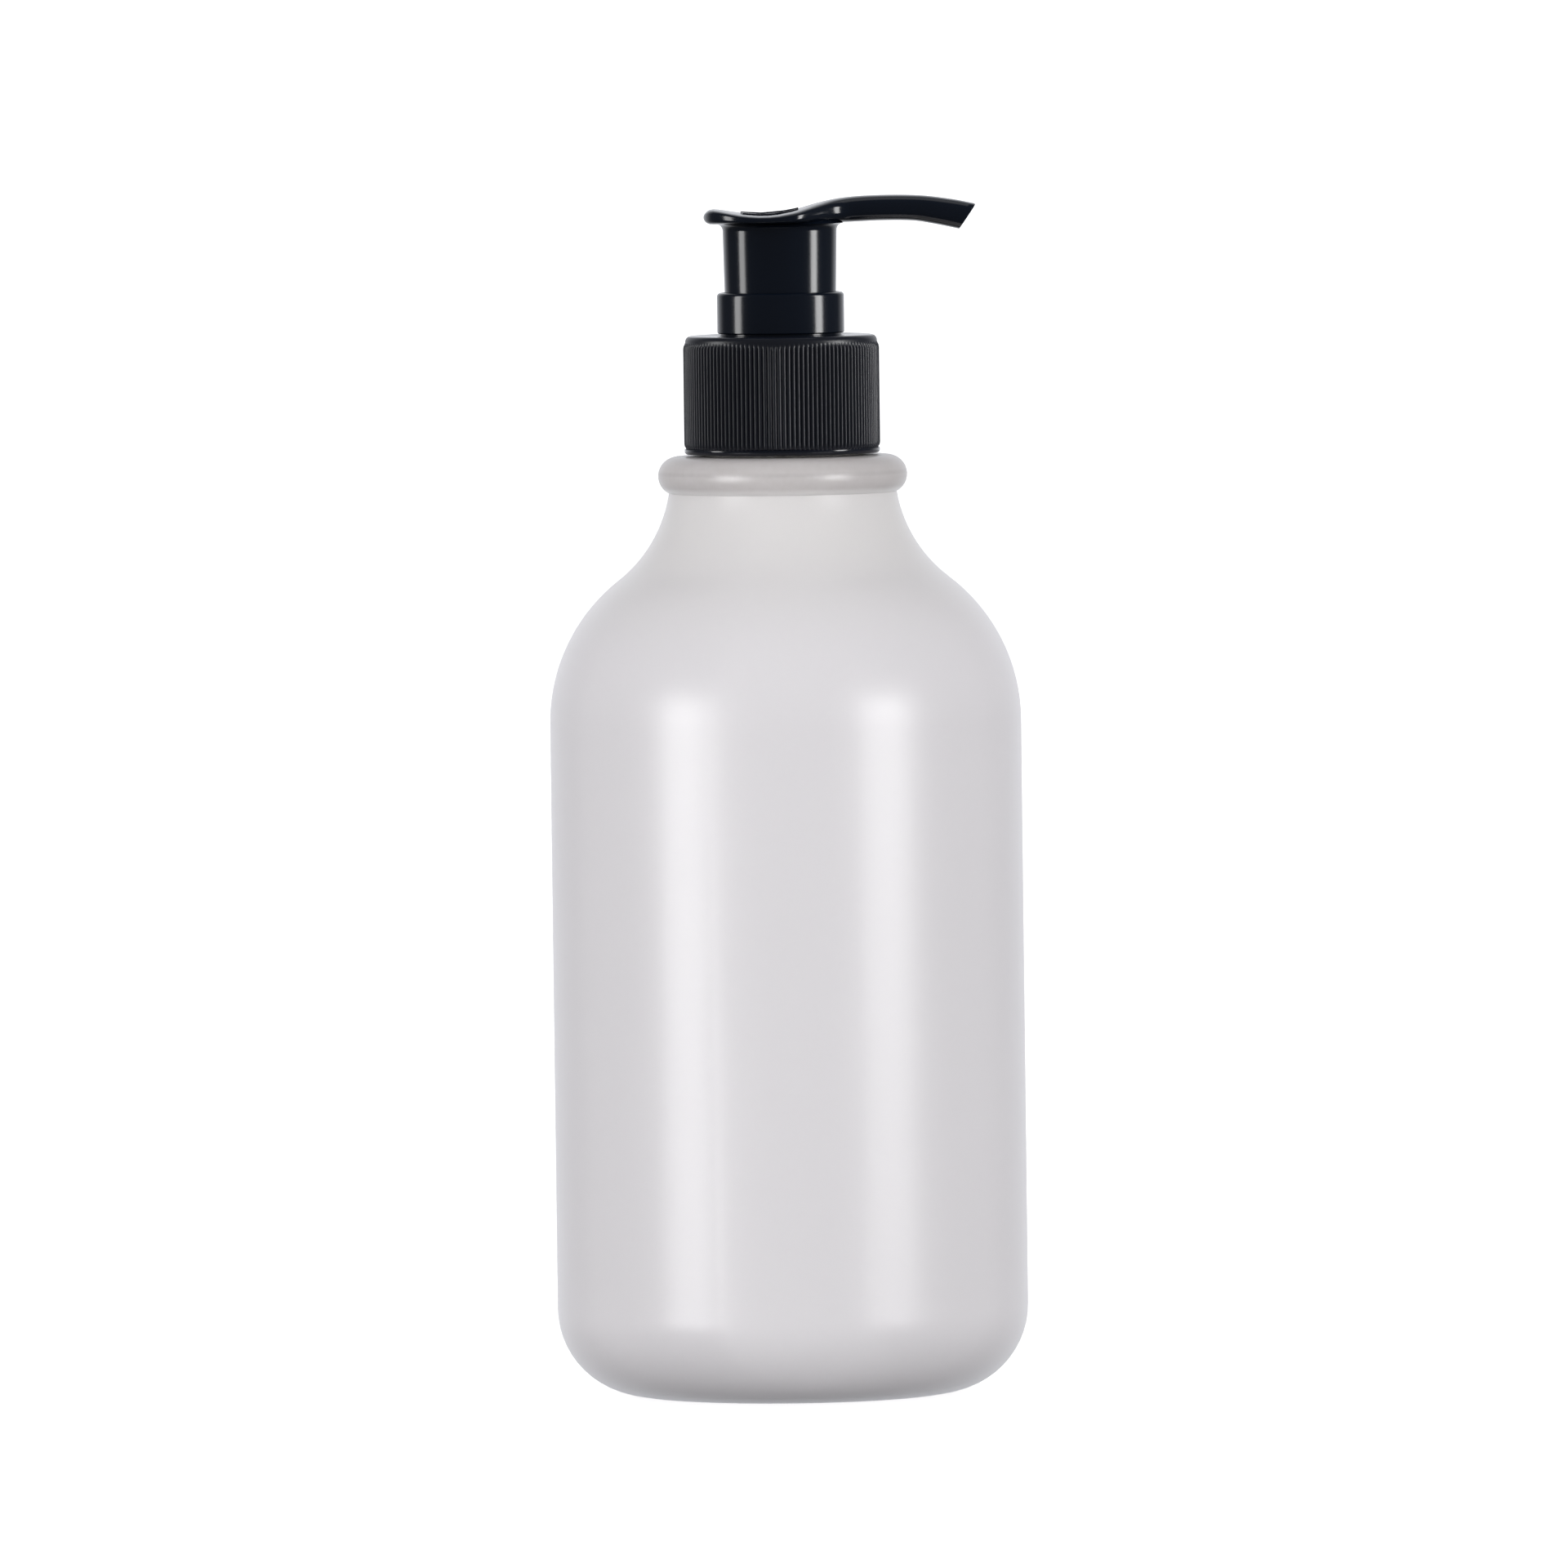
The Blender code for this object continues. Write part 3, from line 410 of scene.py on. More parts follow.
class AddBottle(bpy.types.Operator):
    """Model the frosted bottle with its neck ring and its threaded neck"""

    bl_idname = "lotion_bottle.bottle"
    bl_label = "Bottle"

    def execute(self, context):
        size = context.scene.bottle_sizes
        neck_top = high("bottle")
        bead_top = size.bead_height + size.bead_section
        ring_inner = size.body_radius - size.corner_radius - size.ring_width
        outline = [(0, size.push_up), (ring_inner * 0.6, size.push_up)]
        outline += [(ring_inner * 0.85, size.push_up * 0.6)]
        outline += [(ring_inner - 0.0006, 0.0002), (ring_inner + 0.0002, 0)]
        outline += bottle_side(size, 0)
        lip = 0.0003
        outline += [(size.neck_radius + 0.0005, bead_top), (size.neck_radius + 0.00015, bead_top + 0.00015)]
        outline += [(size.neck_radius, bead_top + 0.0005), (size.neck_radius, neck_top - lip)]
        outline += [(size.neck_radius - lip, neck_top), (size.bore_radius + lip, neck_top)]
        outline += [(size.bore_radius, neck_top - lip), (size.bore_radius, bead_top - size.wall)]
        outline += bottle_side(size, size.wall)[::-1]
        outline += [(ring_inner, size.wall), (ring_inner * 0.6, size.push_up + size.wall)]
        outline += [(0, size.push_up + size.wall)]
        obj = turned("frosted_bottle", outline, 160, closed=False)
        rings = thread_rings(
            size.neck_radius,
            size.neck_radius + size.thread_depth,
            0.0023,
            0.0011,
            neck_top - 0.00795,
            1.5,
            size.thread_pitch,
        )
        combine(obj, extruded_through("neck_thread", rings), "UNION")
        paint = frosted_plastic("frosted_plastic", context.scene.finishes)
        finish_piece(obj, "bottle", "frosted_bottle", paint, "bottle")
        return {"FINISHED"}


class AddClosure(bpy.types.Operator):
    """Model the ribbed screw closure: one rib is modelled, then copied all the way round"""

    bl_idname = "lotion_bottle.closure"
    bl_label = "Ribbed Closure"

    def execute(self, context):
        size = context.scene.closure_sizes
        neck = context.scene.bottle_sizes
        foot, top = low("closure"), high("closure")
        outer, edge = reach("closure"), size.edge_radius
        under_plate = top - size.plate
        wall_top = outer - size.rib_depth - 0.00005
        outline = [(size.hole_radius, under_plate), (size.bore_radius, under_plate)]
        outline += [(size.bore_radius, foot + EDGE), (size.bore_radius + EDGE, foot)]
        band = outer - 0.0001
        outline += [(band - 0.00025, foot), (band, foot + 0.00025)]
        outline += [(band, foot + size.foot_band), (wall_top, foot + size.foot_band + 0.0001)]
        rib_foot = foot + size.foot_band + 0.0002
        rib_top = top - size.rib_top_drop
        inside = [rib_foot + 0.0007 + (rib_top - rib_foot - 0.0014) * i / 5 for i in range(6)]
        heights = [rib_foot, rib_foot + 0.0003, *inside, rib_top - 0.0003, rib_top]
        outline += [(wall_top, height) for height in heights]
        outline += [(wall_top - 0.00002, rib_top + 0.00035)]
        outline += arc((wall_top - edge, top - edge), edge, 0.12, math.pi / 2, 6)
        outline += [(size.hole_radius + EDGE, top), (size.hole_radius, top - EDGE)]
        draw_outline("ribbed_closure", outline, True)
        columns = 8
        shares = (0.25, 0.8, *[1] * len(inside), 0.8, 0.35)
        pitch = math.tau / size.rib_count
        bpy.ops.mesh.select_all(action="SELECT")
        bpy.ops.mesh.spin(steps=columns, angle=pitch, center=(0, 0, 0), axis=(0, 0, 1))
        # Each column of the rib's face is drawn out to its own height, less towards the rib's two ends.
        for column in range(1, columns):
            rise = size.rib_depth * math.sin(math.pi * column / columns) ** 0.75
            for height, share in zip(heights, shares):

                def on_rib(vert, column=column, height=height):
                    turn = abs(math.atan2(vert.co.y, vert.co.x))
                    return (
                        abs(turn - pitch * column / columns) < pitch / columns / 4
                        and abs(vert.co.z - height) < 1e-6
                        and radius_of(vert.co) > wall_top - 2e-5
                    )

                place = select_where(on_rib)
                outwards = Vector((place.x, place.y, 0)).normalized() * rise * share
                bpy.ops.transform.translate(value=outwards)
        bpy.ops.mesh.select_all(action="SELECT")
        around = math.tau - pitch
        bpy.ops.mesh.spin(
            steps=size.rib_count - 1, angle=around, center=(0, 0, 0), axis=(0, 0, 1), dupli=True
        )
        clean_surface()
        bpy.ops.object.mode_set(mode="OBJECT")
        obj = bpy.context.active_object
        thread_start = high("bottle") - 0.00972
        rings = thread_rings(
            size.bore_radius, size.thread_crest, 0.0017, 0.0008, thread_start, 1.25, neck.thread_pitch
        )
        combine(obj, extruded_through("closure_thread", rings), "UNION")
        satin = context.scene.finishes.satin
        polished = (foot + size.foot_band, top - EDGE)
        paint = moulded_plastic("satin_black", satin, 0.34, 0.05, 0.00001, polished)
        finish_piece(obj, "screw_closure", "black_satin", paint, "closure", angle=62)
        return {"FINISHED"}


# ---------------------------------------------------------------- the pump


def smooth_through(points, at):
    """The height at a place of a smooth line through (place, height) points."""
    last = len(points) - 2
    i = min(max(sum(1 for x, _ in points if x <= at) - 1, 0), last)
    (x0, z0), (x1, z1) = points[i], points[i + 1]
    before = points[i - 1] if i > 0 else (2 * x0 - x1, 2 * z0 - z1)
    after = points[i + 2] if i < last else (2 * x1 - x0, 2 * z1 - z0)
    slope0 = (z1 - before[1]) / (x1 - before[0])
    slope1 = (after[1] - z0) / (after[0] - x0)
    t = (at - x0) / (x1 - x0)
    width = x1 - x0
    return (
        (2 * t**3 - 3 * t**2 + 1) * z0
        + (t**3 - 2 * t**2 + t) * width * slope0
        + (3 * t**2 - 2 * t**3) * z1
        + (t**3 - t**2) * width * slope1
    )


def head_width(size, place):
    """Half the head's width: a round thumb saddle that narrows in a smooth curve to the spout."""
    saddle = math.sqrt(max(size.saddle_radius**2 - place**2, 0))
    share = max(place, 0) / reach("actuator_head")
    spout = size.spout_root + (size.spout_tip - size.spout_root) * share
    narrowing = min(max((place - 0.002) / 0.011, 0), 1)
    blend = narrowing * narrowing * (3 - 2 * narrowing)
    wider = (saddle + spout + math.hypot(saddle - spout, 0.0016)) / 2
    return saddle if place <= 0 else (1 - blend) * (wider - 0.00007) + blend * spout


def head_top(size, place):
    """Height of the head's top line: a dished saddle that swells into an arched spout."""
    rear = -size.saddle_radius
    line = [(rear, 0.0022), (rear + 0.0018, 0.0024), (-0.006, 0.0017), (-0.002, 0.0015), (0.0024, 0.0021)]
    line += [(0.0061, 0.0032), (0.0098, 0.0040), (0.0153, 0.0044), (0.0227, 0.0043), (0.0282, 0.0036)]
    line += [(reach("actuator_head"), 0.0029)]
    return size.saddle_height + smooth_through(line, place)


def head_under(size, place):
    """Height of the head's underside: flat under the saddle, then arched under the spout."""
    line = [(-size.saddle_radius, 0), (0.005, 0), (0.011, 0.0001), (0.0171, 0.0003), (0.0227, 0.0002)]
    line += [(0.0263, -0.0003), (reach("actuator_head"), -0.0012)]
    return size.saddle_height + smooth_through(line, place)


def head_rings(size, points_round):
    """Cross-sections of the head: rounded bars that lean over more and more towards the tip."""
    spout = reach("actuator_head")
    shares = (0.9995, 0.997, 0.99, 0.98, 0.965, 0.945, 0.915, 0.87, 0.81, 0.73, 0.63, 0.52, 0.4, 0.27, 0.13)
    places = [-size.saddle_radius * share for share in shares] + [spout * i / 40 for i in range(41)]
    sections = [(place, 1) for place in places]
    # The rear and the tip are closed over with ever smaller sections, so that their edges are soft.
    sections += [(spout + 0.00012, 0.96), (spout + 0.0002, 0.9)]
    rings = []
    for place, shrink in sections:
        at = min(place, spout)
        half = head_width(size, at) * (shrink if place > 0 else 1)
        top, under = head_top(size, at), head_under(size, at)
        past_roll = max(0, (-at - size.saddle_radius + size.rear_roll) / size.rear_roll)
        shrink *= max(1 - past_roll**2, 0.03) ** 0.5
        centre, rise = (top + under) / 2, (top - under) / 2 * shrink
        lean = size.spout_lean * max(at / spout, 0) ** 3
        square = 0.5 + 0.25 * min(max((at - 0.002) / 0.008, 0), 1)
        ring = []
        for k in range(points_round):
            turn = math.tau * (k + 0.5) / points_round
            across = math.copysign(abs(math.cos(turn)) ** square, math.cos(turn))
            up = math.copysign(abs(math.sin(turn)) ** square, math.sin(turn))
            along = place - 0.0002 * (place > 0) - lean * (1 - up) / 2
            ring.append((along, half * across, centre + rise * up))
        rings.append(ring)
    return rings


def tube_rings(path, radius, sides):
    """Sections of a round bar along a path, square to it."""
    rings = []
    for i, point in enumerate(path):
        ahead = Vector(path[min(i + 1, len(path) - 1)])
        behind = Vector(path[max(i - 1, 0)])
        along = (ahead - behind).normalized()
        aside = along.cross(Vector((0, 1, 0)) if abs(along.y) < 0.9 else Vector((0, 0, 1))).normalized()
        up = along.cross(aside)
        turns = [math.tau * k / sides for k in range(sides)]
        rings.append([Vector(point) + radius * (aside * math.cos(t) + up * math.sin(t)) for t in turns])
    return rings


def upright_rib(name, inner, outer, bottom, top, angle):
    """An upright rib that stands across a ring, at an angle in degrees round the axis."""
    start_fresh()
    bpy.ops.mesh.primitive_cube_add(
        size=1,
        location=((inner + outer) / 2, 0, (bottom + top) / 2),
        scale=(outer - inner, STOP_WIDTH, top - bottom),
    )
    obj = bpy.context.active_object
    obj.name = name
    bpy.ops.object.transform_apply(location=True, rotation=True, scale=True)
    bpy.ops.object.mode_set(mode="EDIT")
    bpy.ops.mesh.select_all(action="SELECT")
    # The turn is about Z through the origin; its sign is the operator's own, which runs backwards.
    bpy.ops.transform.rotate(value=-math.radians(angle), orient_axis="Z", center_override=(0, 0, 0))
    bpy.ops.object.mode_set(mode="OBJECT")
    return obj


class AddHead(bpy.types.Operator):
    """Model the pump's head: a thumb saddle with its spout, a skirt, a stem socket and turn arrows"""

    bl_idname = "lotion_bottle.head"
    bl_label = "Pump Head"

    def execute(self, context):
        size = context.scene.pump_sizes
        spout = reach("actuator_head")
        foot = low("actuator_head")
        saddle, roof = size.saddle_height, size.saddle_height - 0.0017
        obj = extruded_through("pump_head", head_rings(size, 56))
        stem_reach = reach("stem") + SNUG
        inner = size.skirt_foot - size.skirt_wall
        fillet = size.skirt_fillet
        outline = [(0, saddle + 0.0006), (0, roof), (stem_reach, roof), (stem_reach, foot + 0.001)]
        outline += [(size.boss_radius, foot + 0.001), (size.boss_radius, roof), (inner, roof)]
        outline += [(inner, foot + EDGE), (inner + EDGE, foot), (size.skirt_foot - 0.00025, foot)]
        outline += [(size.skirt_foot, foot + 0.00025), (size.skirt_top, saddle - fillet)]
        outline += arc((size.skirt_top + fillet, saddle - fillet), fillet, math.pi, math.pi * 0.58, 5)[1:]
        outline += [(size.skirt_top + fillet, saddle + 0.00005), (size.skirt_top, saddle + 0.0006)]
        combine(obj, turned("head_skirt", outline, 128), "UNION")
        key_middle = (size.boss_radius + inner) / 2
        key = upright_rib("head_key", key_middle, inner + 0.0005, foot + 0.0003, saddle - 0.001, 180)
        combine(obj, key, "UNION")
        path = [(0, 0, roof - 0.001), (0.0003, 0, saddle - 0.0009), (0.0014, 0, saddle)]
        path += [(0.004, 0, saddle + 0.0002), (0.007, 0, saddle + 0.0011)]
        for share in (0.3, 0.42, 0.55, 0.7, 0.85, 0.95, 1.05):
            inside = min(spout * share, spout * 0.97)
            path.append((spout * share, 0, (head_top(size, inside) + head_under(size, inside)) / 2))
        channel = extruded_through("spout_channel", tube_rings(path, size.channel_radius, 20))
        combine(obj, channel, "DIFFERENCE")
        paint = moulded_plastic("gloss_black", context.scene.finishes.gloss, *GLOSS)
        finish_piece(obj, "head", "black_gloss", paint, "actuator_head", angle=40)
        for side in (1, -1):
            self.add_arrow(size, side, paint)
        return {"FINISHED"}

    def add_arrow(self, size, side, paint):
        """A plain curved arrow raised on the saddle, one on each side, both pointing round the axis."""
        centre, bend = Vector((-0.0012, 0)), 0.0062
        turns = [math.radians(a) for a in range(50, 131, 8)]
        band = 0.00042
        outline = [(turn, bend + band) for turn in turns]
        outline += [(turns[-1], bend + 0.0011), (turns[-1] + 0.26, bend), (turns[-1], bend - 0.0011)]
        outline += [(turn, bend - band) for turn in reversed(turns)]
        rings = []
        for rise, shrink in ((-0.0003, 0), (0.00016, 0), (0.00022, 0.00006)):
            ring = []
            for turn, far in outline:
                distance = far - math.copysign(shrink, far - bend)
                x = centre.x + distance * math.cos(turn)
                y = centre.y + side * distance * math.sin(turn)
                ring.append((x, y, head_top(size, x) + rise))
            rings.append(ring)
        name = "turn_arrow_back" if side > 0 else "turn_arrow_front"
        finish_piece(extruded_through(name, rings), "head", "black_gloss", paint)


class AddCollar(bpy.types.Operator):
    """Model the lock collar, with the two ribs inside it that stop the head's turn"""

    bl_idname = "lotion_bottle.collar"
    bl_label = "Lock Collar"

    def execute(self, context):
        size = context.scene.pump_sizes
        bottom, top, outer = high("closure") + 0.0003, high("lock_collar"), reach("lock_collar")
        lip = size.collar_lip
        floor_low = high("housing") - 0.0053
        floor_top = floor_low + size.collar_floor
        guide, guide_outer = reach("stem") + SNUG, size.barrel_bore - SNUG
        outline = [(size.throat_outer, bottom), (outer - EDGE, bottom), (outer, bottom + EDGE)]
        outline += arc((outer - lip, top - lip), lip, 0, math.pi / 2, 8)
        outline += [(size.collar_mouth + EDGE, top), (size.collar_mouth, top - EDGE)]
        outline += [(size.collar_mouth, bottom + 0.00095), (size.throat_inner, bottom)]
        outline += [(size.throat_inner, floor_top), (guide, floor_top), (guide, low("lock_collar"))]
        outline += [(guide_outer, low("lock_collar")), (guide_outer, floor_low)]
        outline += [(size.throat_outer, floor_low)]
        obj = turned("lock_collar_shell", outline, 128)
        rib_inner = size.boss_radius + LOOSE
        rib_outer = size.skirt_foot - size.skirt_wall - LOOSE
        # The ribs stand a key's width and a little more beyond the head's travel.
        beyond = math.degrees(0.0021 / ((rib_inner + rib_outer) / 2))
        rib_top = low("actuator_head") + 0.0012
        for name, angle in (("open_stop", 180 + beyond), ("lock_stop", 90 - beyond)):
            rib = upright_rib(name, rib_inner, rib_outer, floor_top - 0.0006, rib_top, angle)
            combine(obj, rib, "UNION")
        paint = moulded_plastic("gloss_black_collar", context.scene.finishes.gloss, *GLOSS)
        finish_piece(obj, "pump_core", "black_gloss", paint, "lock_collar", angle=40)
        return {"FINISHED"}


def housing_outline(size):
    """The pump chamber: flange, cup, barrel, ledge for the spring, valve chamber and socket for the tube."""
    flange, flange_top = reach("housing"), high("housing")
    flange_low = low("neck_gasket") + 0.0013
    cup_outer, cup_inner = 0.0105, 0.0098
    cup_top = flange_top - 0.0056
    cup_low = cup_top - 0.001
    ledge, throat_low = low("return_spring") - 0.0003, low("return_spring") - 0.0011
    bore, outer = size.barrel_bore, size.barrel_bore + size.barrel_wall
    socket_low, socket_top = low("housing"), high("dip_tube") + 0.0003
    seat_foot = socket_top + 0.0008
    seat_top = seat_foot + 0.0013
    tube = reach("dip_tube") + SNUG
    outline = [(flange, flange_low), (flange, flange_top), (cup_inner, flange_top), (cup_inner, cup_top)]
    outline += [(bore, cup_top), (bore, ledge), (0.00225, ledge), (0.00225, throat_low)]
    outline += [(0.0029, throat_low - 0.00065), (0.0029, seat_top), (0.0016, seat_foot), (0.0016, socket_top)]
    outline += [(tube, socket_top), (tube, socket_low), (tube + 0.0009, socket_low)]
    outline += [(tube + 0.0009, seat_foot + 0.0009), (outer, ledge - size.barrel_wall - 0.0004)]
    return outline + [(outer, cup_low), (cup_outer, cup_low), (cup_outer, flange_low)]


class AddHousing(bpy.types.Operator):
    """Model the pump chamber with its vent, the gasket under its flange and the dip tube in its socket"""

    bl_idname = "lotion_bottle.housing"
    bl_label = "Pump Chamber, Gasket and Dip Tube"

    def execute(self, context):
        size, finishes = context.scene.pump_sizes, context.scene.finishes
        natural = moulded_plastic("natural_plastic", finishes.natural, 0.32, 0.06, 0.00001)
        obj = turned("pump_chamber", rounded(housing_outline(size), 0.00018, 2), 64)
        vent_height = low("piston") + 0.0025
        ends = [(size.barrel_bore - 0.001, 0, vent_height), (size.barrel_bore + 0.002, 0, vent_height)]
        combine(obj, extruded_through("vent_hole", tube_rings(ends, 0.0006, 16)), "DIFFERENCE")
        finish_piece(obj, "pump_core", "natural_plastic", natural, "housing")
        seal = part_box("neck_gasket")
        outline = [(0.0107, seal[0].z), (seal[1].x, seal[0].z), (seal[1].x, seal[1].z), (0.0107, seal[1].z)]
        obj = turned("foam_gasket", rounded(outline, 0.00015), 96)
        finish_piece(obj, "pump_core", "gasket_foam", foam("gasket_foam", finishes.foam), "neck_gasket")
        self.add_tube(size, natural)
        return {"FINISHED"}

    def add_tube(self, size, natural):
        """The dip tube: a drawn tube with its foot cut off on a slant."""
        bottom, top, outer = low("dip_tube"), high("dip_tube"), reach("dip_tube")
        slant = 0.006
        heights = [bottom + slant + 0.0002 + (top - bottom - slant) * i / 6 for i in range(6)]
        outline = [(size.tube_bore, bottom - 0.001), (outer, bottom - 0.001)]
        outline += [(outer, height) for height in heights] + [(outer, top - 0.0001), (outer - 0.0001, top)]
        outline += [(size.tube_bore + 0.0001, top), (size.tube_bore, top - 0.0001)]
        outline += [(size.tube_bore, height) for height in reversed(heights)]
        obj = turned("dip_tube_drawn", outline, 64)
        bpy.ops.object.mode_set(mode="EDIT")
        bpy.ops.mesh.select_all(action="SELECT")
        tilt = math.atan2(slant, 2 * outer)
        bpy.ops.mesh.bisect(
            plane_co=(0, 0, bottom + slant / 2),
            plane_no=(-math.sin(tilt), 0, math.cos(tilt)),
            use_fill=True,
            clear_inner=True,
        )
        clean_surface()
        bpy.ops.object.mode_set(mode="OBJECT")
        finish_piece(obj, "pump_core", "natural_plastic", natural, "dip_tube")


class AddPiston(bpy.types.Operator):
    """Model what moves in the pump chamber: the stem, the fluted rod, the piston, the spring and the ball"""

    bl_idname = "lotion_bottle.piston"
    bl_label = "Stem, Rod, Piston, Spring and Ball"

    def execute(self, context):
        size, finishes = context.scene.pump_sizes, context.scene.finishes
        white = moulded_plastic("white_plastic", finishes.white, 0.3, 0.05, 0.000005)
        foot, top, outer = low("stem"), high("stem"), reach("stem")
        outline = [(size.stem_bore, foot), (outer, foot), (outer, top), (size.stem_bore, top)]
        obj = turned("pump_stem", rounded(outline, 0.0002), 64)
        finish_piece(obj, "plunger", "white_plastic", white, "stem")
        self.add_rod(size, white)
        self.add_piston(size, finishes)
        self.add_spring(size, finishes)
        self.add_ball(finishes)
        return {"FINISHED"}

    def add_rod(self, size, white):
        """The rod: a seat under the piston and a cross-shaped shank pressed into the stem."""
        foot, seat, top = low("piston_rod"), low("piston_rod") + 0.0016, high("piston_rod")
        rod, seat_radius, bore = size.stem_bore - SNUG, reach("piston_rod"), size.stem_bore + LOOSE
        cone = bore - rod
        outline = [(0, foot), (seat_radius, foot), (seat_radius, seat), (rod, seat)]
        outline += [(rod - cone, seat + cone / 2), (0, seat + cone / 2)]
        obj = turned("fluted_rod", rounded(outline, 0.00015), 64, closed=False)
        half = 0.0006
        arm = math.sqrt(rod**2 - half**2)
        section = []
        for quarter in range(4):
            for x, y in ((arm, -half), (rod - 0.00003, 0), (arm, half), (half, half)):
                for _ in range(quarter):
                    x, y = -y, x
                section.append((x, y))
        rings = [[(x, y, z) for x, y in section] for z in (seat - 0.0008, top - 0.0002)]
        rings.append([(x * 0.9, y * 0.9, top) for x, y in section])
        combine(obj, extruded_through("fluted_shank", rings), "UNION")
        finish_piece(obj, "plunger", "white_plastic", white, "piston_rod")

    def add_piston(self, size, finishes):
        """The piston: a hub round the rod and a thin sleeve with a sealing lip at each end."""
        foot = low("piston") + 0.0003
        radius = size.barrel_bore - SNUG
        bore, sleeve = size.stem_bore + LOOSE, radius - 0.0006
        hub = bore + 0.00085
        waist = radius - 0.0002
        web_low, web_high, hub_top, top = foot + 0.00176, foot + 0.00295, foot + 0.0044, high("piston")
        outline = [(bore, foot), (hub, foot), (hub, web_low), (sleeve, web_low)]
        outline += [(sleeve + 0.0002, foot - 0.0003), (radius, foot - 0.0003), (waist, web_low)]
        outline += [(waist, web_high), (radius, top), (sleeve + 0.0002, top), (sleeve, web_high)]
        outline += [(hub, web_high), (hub, hub_top), (bore, hub_top)]
        obj = turned("shuttle_piston", rounded(outline, 0.00012, 2), 64)
        natural = moulded_plastic("piston_plastic", finishes.natural, 0.28, 0.05, 0.000005)
        finish_piece(obj, "shuttle_piston", "natural_plastic", natural, "piston")

    def add_spring(self, size, finishes):
        """The spring: one wire with a closed coil at each end."""
        foot, top = low("return_spring"), high("return_spring")
        wire, coils, steps = size.wire_radius, size.spring_coils, 32
        radius = reach("return_spring") - wire
        end_pitch = wire * 2.4
        open_pitch = (top - foot - 2 * wire - 2 * end_pitch) / (coils - 2)
        rings = []
        for i in range(coils * steps + 1):
            turns = i / steps
            rise = end_pitch * min(turns, 1) + open_pitch * min(max(turns - 1, 0), coils - 2)
            rise += end_pitch * max(turns - coils + 1, 0)
            angle = math.tau * turns
            out = Vector((math.cos(angle), math.sin(angle), 0))
            at = out * radius + Vector((0, 0, foot + wire + rise))
            sides = [math.tau * (k + 0.5) / 10 for k in range(10)]
            rings.append([at + wire * (out * math.cos(s) + Vector((0, 0, math.sin(s)))) for s in sides])
        obj = extruded_through("spring_wire", rings)
        finish_piece(obj, "pump_core", "spring_steel", steel("spring_steel", finishes.steel), "return_spring")
        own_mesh(obj)

    def add_ball(self, finishes):
        """The valve's ball."""
        floor, roof = low("inlet_ball"), high("inlet_ball")
        start_fresh()
        bpy.ops.mesh.primitive_ico_sphere_add(
            subdivisions=4, radius=(roof - floor) / 2, location=(0, 0, (roof + floor) / 2)
        )
        obj = bpy.context.active_object
        obj.name = "valve_ball"
        paint = ball_glass("ball_glass", finishes.glass)
        finish_piece(obj, "valve_ball", "ball_glass", paint, "inlet_ball", angle=60)


# ---------------------------------------------------------------- finishes


class Value:
    """A socket of a material, with the sums and products that shader maths needs."""

    def __init__(self, paint, socket):
        self.paint = paint
        self.socket = socket

    def maths(self, operation, first, second):
        return self.paint.node("ShaderNodeMath", {"operation": operation}, {0: first, 1: second})

    def __add__(self, other):
        return self.maths("ADD", self, other)

    __radd__ = __add__

    def __sub__(self, other):
        return self.maths("SUBTRACT", self, other)

    def __rsub__(self, other):
        return self.maths("SUBTRACT", other, self)

    def __mul__(self, other):
        return self.maths("MULTIPLY", self, other)

    __rmul__ = __mul__


class Nodes:
    """The shader nodes of a material or of the world."""

    def __init__(self, owner):
        self.owner = owner
        owner.use_nodes = True
        self.tree = owner.node_tree
        self.tree.nodes.clear()

    def node(self, kind, settings=None, inputs=None, output=0):
        """Adds a node: its settings first, then the values or links of its sockets."""
        made = self.tree.nodes.new(kind)
        for key, value in (settings or {}).items():
            setattr(made, key, value)
        for key, value in (inputs or {}).items():
            socket = made.inputs[key]
            if isinstance(value, Value):
                self.tree.links.new(value.socket, socket)
            else:
                socket.default_value = (*value, 1) if socket.type == "RGBA" else value
        return Value(self, made.outputs[output])

    def spread(self, value, start, end, settings=None, results=(0, 1)):
        """A value from start to end, spread out from the first result to the second."""
        inputs = {"Value": value, "From Min": start, "From Max": end}
        inputs.update({"To Min": results[0], "To Max": results[1]})
        return self.node("ShaderNodeMapRange", settings, inputs)

    def finish(self, shader, kind="ShaderNodeOutputMaterial"):
        """Joins the last shader to an output node, and returns what owns the nodes."""
        end = self.tree.nodes.new(kind)
        self.tree.links.new(shader.socket, end.inputs["Surface"])
        return self.owner


